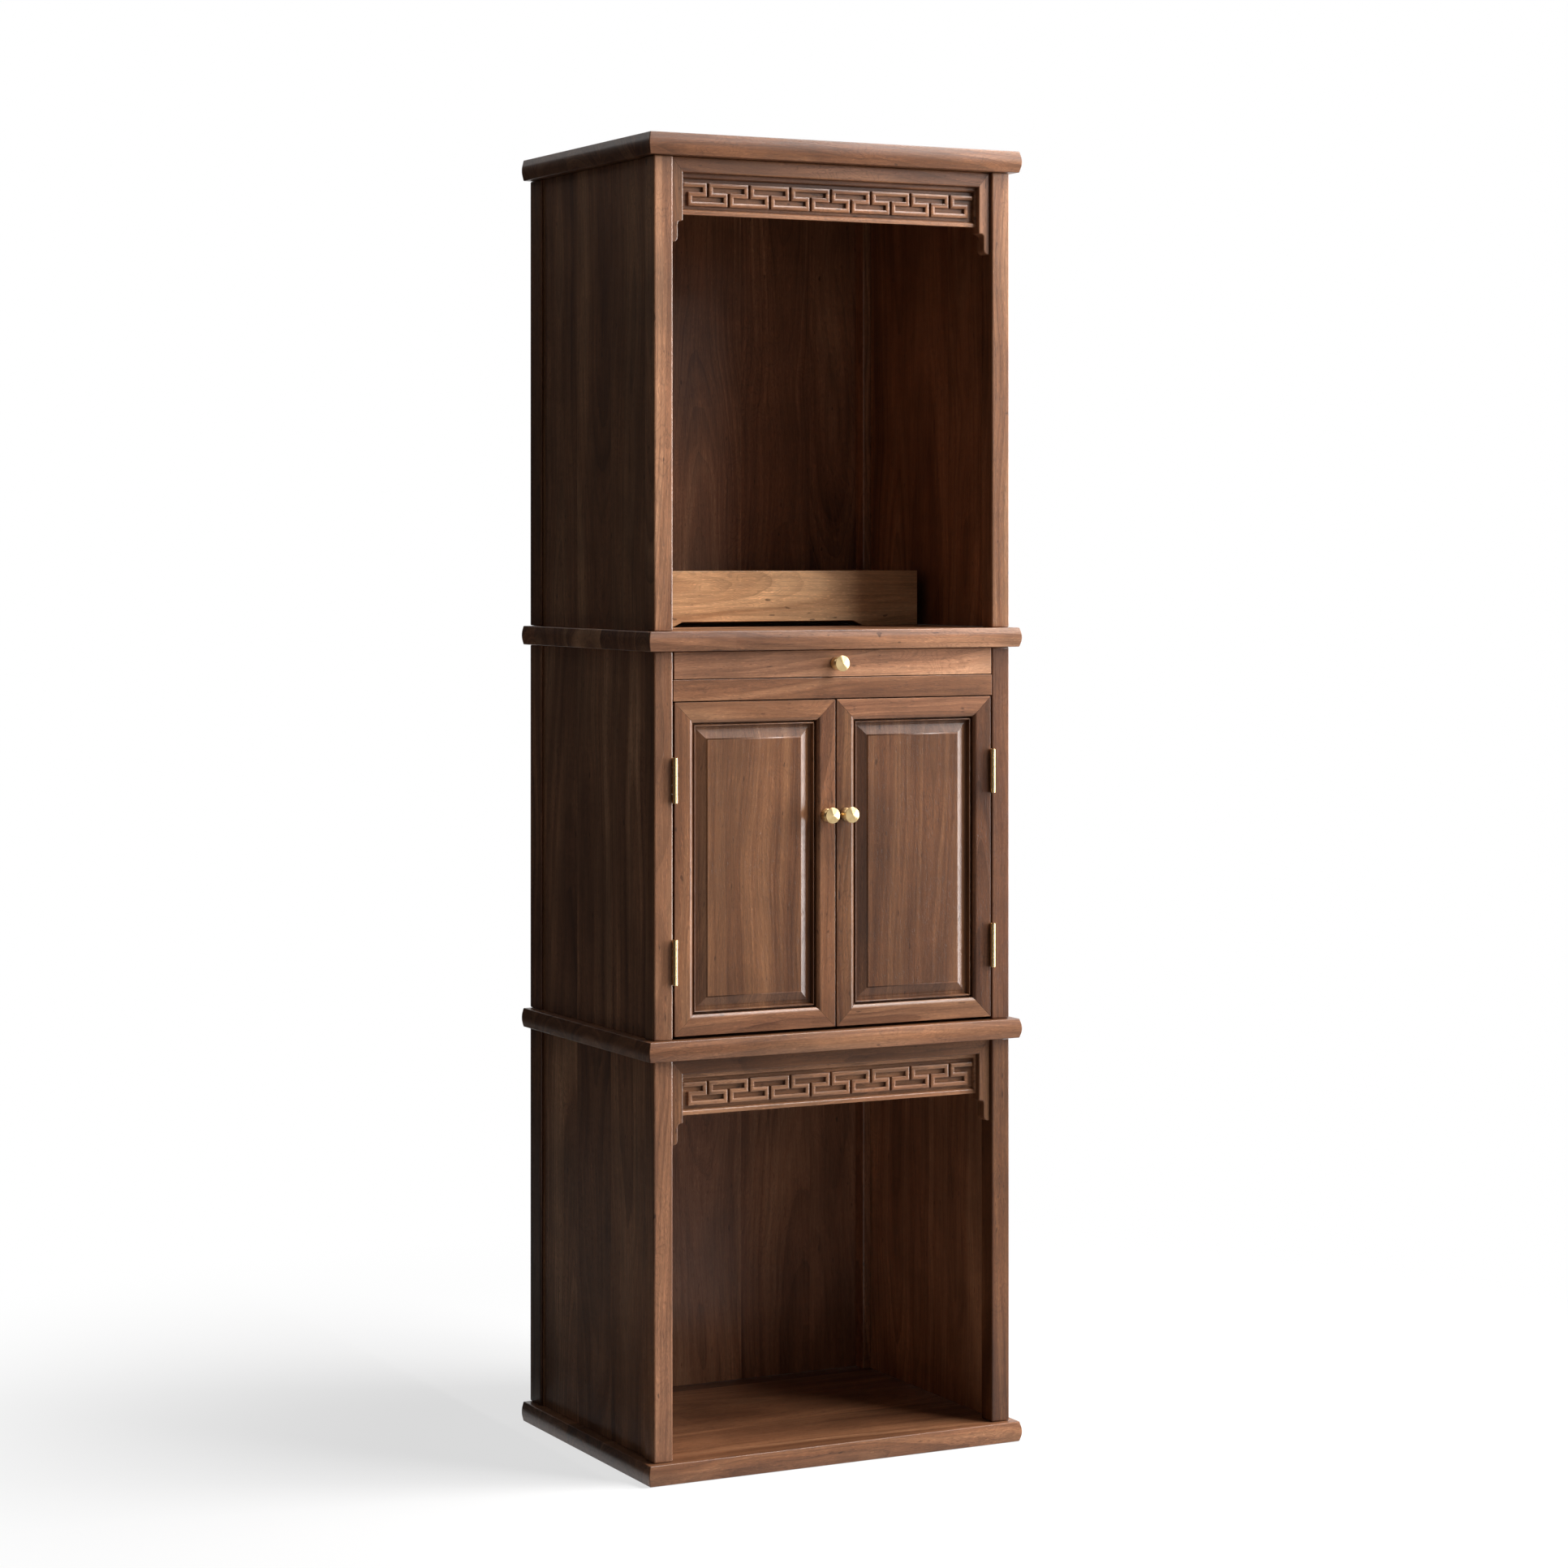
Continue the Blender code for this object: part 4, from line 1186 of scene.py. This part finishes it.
class SHRINE_OT_aprons(bpy.types.Operator):
    """Make the two aprons' rails, stiles and fret panels"""

    bl_idname = "shrine_cabinet.aprons"
    bl_label = "Aprons"

    def execute(self, context):
        settings = context.scene.shrine_apron
        rail = make_apron_rail("lower_apron_rail", settings)
        finish_boards(rail, "lower_apron_rail", ("upper_apron_rail",), X, angle=CRISP)
        first, *others = (f"{stage}_apron_{side}_stile" for stage in ("lower", "upper") for side in SIDES)
        finish_boards(make_apron_stile(first, settings), first, others, Z, angle=CRISP)
        panel = make_fret_panel("lower_fret_panel", settings)
        finish_boards(panel, "lower_fret_panel", ("upper_fret_panel",), X, angle=CRISP)
        return {"FINISHED"}


class SHRINE_OT_tray(bpy.types.Operator):
    """Make the pull-out tray's front and board"""

    bl_idname = "shrine_cabinet.tray"
    bl_label = "Tray"

    def execute(self, context):
        arris = context.scene.shrine_carcass.arris
        make_tray_front("tray_front", arris)
        make_plain_board("tray_board", arris)
        return {"FINISHED"}


class SHRINE_OT_doors(bpy.types.Operator):
    """Make both doors' frames and raised panels"""

    bl_idname = "shrine_cabinet.doors"
    bl_label = "Doors"

    def execute(self, context):
        settings = context.scene.shrine_door
        arris = context.scene.shrine_carcass.arris
        for name, (along, inner) in DOOR_MEMBERS.items():
            member = make_door_member("left_door_" + name, along, inner, settings, arris)
            finish_boards(member, "left_door_" + name, ("right_door_" + name,), along)
        panel = make_door_panel("left_door_panel", settings)
        finish_boards(panel, "left_door_panel", ("right_door_panel",), Z)
        return {"FINISHED"}


class SHRINE_OT_knobs(bpy.types.Operator):
    """Turn the three knobs"""

    bl_idname = "shrine_cabinet.knobs"
    bl_label = "Knobs"

    def execute(self, context):
        first = make_knob("tray_knob", context.scene.shrine_fitting)
        for node, knob in set_out_copies(first, "tray_knob", ("left_door_knob", "right_door_knob")):
            lay_turning(knob, node)
            hand_over(knob, node, brass("brushed_brass", brushed=True))
        return {"FINISHED"}


class SHRINE_OT_hinges(bpy.types.Operator):
    """Make the four butt hinges"""

    bl_idname = "shrine_cabinet.hinges"
    bl_label = "Hinges"

    def execute(self, context):
        for place, side, knuckle in (("frame", -1, 0), ("door", 1, 1)):
            spots = [f"{hand}_{spot}" for hand in SIDES for spot in ("lower", "upper")]
            first, *others = (f"{spot}_hinge_{place}_leaf" for spot in spots)
            leaf = make_leaf(first, side, knuckle, context.scene.shrine_fitting)
            for node, piece in set_out_copies(leaf, first, others):
                hand_over(piece, node, brass("polished_brass", brushed=False))
        return {"FINISHED"}


class SHRINE_OT_riser(bpy.types.Operator):
    """Make the step stand in the niche"""

    bl_idname = "shrine_cabinet.riser"
    bl_label = "Riser"

    def execute(self, context):
        settings = context.scene.shrine_riser
        arris = context.scene.shrine_carcass.arris
        make_riser_front("riser_front", settings, arris)
        make_riser_back("riser_back", settings, arris)
        make_plain_board("riser_top", arris)
        return {"FINISHED"}


class SHRINE_OT_stage(bpy.types.Operator):
    """Set up the floor, the lights, the background and the camera"""

    bl_idname = "shrine_cabinet.stage"
    bl_label = "Stage"

    def execute(self, context):
        settings = context.scene.shrine_stage
        set_floor(settings)
        for name, (place, height, size) in LIGHTS.items():
            add_light(name + "_light", place, (0, AIM_Y, height), size, getattr(settings, name))
        add_flag("front_flag", (0.53, -1.20, 1.16), (0.9, 2.3), Y, settings.front_flag, lit=True)
        add_flag("side_flag", (-1.7, -1.6, 1.30), (2.6, 9.4), X, settings.flag)
        add_flag("rear_flag", (-0.95, 3.1, 1.30), (1.5, 2.6), Y, settings.flag)
        add_flag("floor_flag", (-1.01, 0.9, 0.004), (1.36, 4.4), Z, settings.floor_flag)
        set_world(settings)
        set_camera(settings)
        context.scene.view_settings.view_transform = "Standard"
        return {"FINISHED"}


def seen_rays(net):
    """Give 1 for what the camera sees, also in metal, and 0 for light that only bounces."""
    rays = net.add("ShaderNodeLightPath").outputs
    seen = net.math("MAXIMUM", rays["Is Camera Ray"], rays["Is Glossy Ray"])
    return net.math("MAXIMUM", seen, rays["Is Transmission Ray"])


def set_floor(settings):
    """Lay a pale floor that keeps the cabinet's soft shadow and fades to white further out."""
    bpy.ops.mesh.primitive_grid_add(x_subdivisions=8, y_subdivisions=8, size=16.0, location=(0, 0, -0.0005))
    floor = bpy.context.object
    bpy.ops.object.transform_apply(location=True, rotation=True, scale=True)
    floor.name = "studio_floor"
    net = NodeNet(bpy.data.materials.new("pale_floor"))
    place = net.add("ShaderNodeTexCoord").outputs["Object"]
    cloud, _ = net.noise(place, detail=3.0, scale=1.5)
    net.surface({
        "Base Color": net.shade((*settings.floor,), net.level(cloud, 0.04, 0.98)),
        "Roughness": 0.9,
        "Specular IOR Level": 0.1,
    })
    glow = net.add("ShaderNodeEmission", [(0, WHITE), (1, 1.0)]).outputs[0]
    dim = net.add("ShaderNodeBsdfDiffuse", [(0, (*settings.bounce, 1))]).outputs[0]
    away = net.add("ShaderNodeVectorMath", [(0, place)], operation="LENGTH").outputs["Value"]
    lift = net.between(away, *FLOOR_FADE, FLOOR_GLOW, 1.0)
    lifted = net.add("ShaderNodeMixShader", [(0, lift), (1, net.shader.outputs[0]), (2, glow)]).outputs[0]
    shown = net.add("ShaderNodeMixShader", [(0, seen_rays(net)), (1, dim), (2, lifted)]).outputs[0]
    net.feed(net.tree.nodes["Material Output"].inputs[0], shown)
    floor.data.materials.append(net.holder)


def add_flag(name, place, size, axis, colour, lit=False):
    """Stand a board outside the picture for the satin finish to mirror, dark or dimly lit."""
    bpy.ops.mesh.primitive_plane_add(size=1.0, location=place, rotation=TURNS[axis])
    flag = bpy.context.object
    flag.scale = (*size, 1)
    bpy.ops.object.transform_apply(location=True, rotation=True, scale=True)
    flag.name = name
    flag.visible_camera = False
    flag.visible_shadow = False
    flag.visible_diffuse = not lit
    net = NodeNet(bpy.data.materials.new(name + "_cloth"))
    weave, _ = net.noise(net.add("ShaderNodeTexCoord").outputs["Object"], scale=400.0)
    net.surface({
        "Base Color": net.shade((*colour,), net.level(weave, 0.2, 0.9)),
        "Roughness": 1.0,
        "Specular IOR Level": 0.0,
    })
    if lit:
        net.surface({"Emission Color": (*colour, 1.0), "Emission Strength": 1.0})
    flag.data.materials.append(net.holder)


def add_light(name, place, target, size, power):
    """Hang a soft box and aim it."""
    lamp = bpy.data.lights.new(name, "AREA")
    lamp.shape = "RECTANGLE"
    lamp.size, lamp.size_y = size
    lamp.energy = power
    light = bpy.data.objects.new(name, lamp)
    bpy.context.scene.collection.objects.link(light)
    light.location = place
    light.rotation_euler = (Vector(target) - Vector(place)).to_track_quat("-Z", "Y").to_euler()


def set_world(settings):
    """Make the background white and the light from all round weak."""
    world = bpy.data.worlds.new("studio")
    bpy.context.scene.world = world
    net = NodeNet(world)
    weak = net.tree.nodes["Background"]
    net.feed(weak.inputs[0], WHITE)
    net.feed(weak.inputs[1], settings.ambient)
    white = net.add("ShaderNodeBackground", [(0, WHITE), (1, 1.0)])
    feeds = [(0, seen_rays(net)), (1, weak.outputs[0]), (2, white.outputs[0])]
    shown = net.add("ShaderNodeMixShader", feeds).outputs[0]
    net.feed(net.tree.nodes["World Output"].inputs[0], shown)


def set_camera(settings):
    """Stand the camera where the picture was taken from, level and with the frame shifted down."""
    lens = bpy.data.cameras.new("camera")
    lens.sensor_width = 36.0
    lens.lens = settings.lens
    lens.shift_y = CAMERA_SHIFT
    camera = bpy.data.objects.new("camera", lens)
    bpy.context.scene.collection.objects.link(camera)
    camera.location = CAMERA
    camera.rotation_euler = (math.radians(90), 0, math.radians(-CAMERA_TURN))
    bpy.context.scene.camera = camera


class SHRINE_PT_sidebar(bpy.types.Panel):
    """Lists the cabinet's settings and the steps that make it"""

    bl_idname = "SHRINE_PT_sidebar"
    bl_label = "Shrine cabinet"
    bl_space_type = "VIEW_3D"
    bl_region_type = "UI"
    bl_category = "Shrine cabinet"

    def draw(self, context):
        for name, group in GROUPS.items():
            box = self.layout.box()
            box.label(text=group.__doc__)
            settings = getattr(context.scene, name)
            for key in group.__annotations__:
                box.prop(settings, key)
        for step in STEPS:
            self.layout.operator(step.bl_idname)


GROUPS = {
    "shrine_carcass": CarcassSettings,
    "shrine_apron": ApronSettings,
    "shrine_door": DoorSettings,
    "shrine_fitting": FittingSettings,
    "shrine_riser": RiserSettings,
    "shrine_walnut": WalnutSettings,
    "shrine_brass": BrassSettings,
    "shrine_stage": StageSettings,
}
STEPS = (
    SHRINE_OT_stage,
    SHRINE_OT_slabs,
    SHRINE_OT_posts,
    SHRINE_OT_panels,
    SHRINE_OT_shelf,
    SHRINE_OT_aprons,
    SHRINE_OT_tray,
    SHRINE_OT_doors,
    SHRINE_OT_knobs,
    SHRINE_OT_hinges,
    SHRINE_OT_riser,
)


def register():
    """Register the settings, the steps and the panel."""
    for name, group in GROUPS.items():
        bpy.utils.register_class(group)
        setattr(bpy.types.Scene, name, PointerProperty(type=group))
    for step in STEPS:
        bpy.utils.register_class(step)
    bpy.utils.register_class(SHRINE_PT_sidebar)


def unregister():
    """Take the settings, the steps and the panel away again."""
    bpy.utils.unregister_class(SHRINE_PT_sidebar)
    for step in reversed(STEPS):
        bpy.utils.unregister_class(step)
    for name, group in reversed(GROUPS.items()):
        delattr(bpy.types.Scene, name)
        bpy.utils.unregister_class(group)


def main():
    """Make the cabinet and its stage."""
    register()
    bpy.ops.shrine_cabinet.stage()
    bpy.ops.shrine_cabinet.slabs()
    bpy.ops.shrine_cabinet.posts()
    bpy.ops.shrine_cabinet.panels()
    bpy.ops.shrine_cabinet.shelf()
    bpy.ops.shrine_cabinet.aprons()
    bpy.ops.shrine_cabinet.tray()
    bpy.ops.shrine_cabinet.doors()
    bpy.ops.shrine_cabinet.knobs()
    bpy.ops.shrine_cabinet.hinges()
    bpy.ops.shrine_cabinet.riser()


if __name__ == "__main__":
    main()
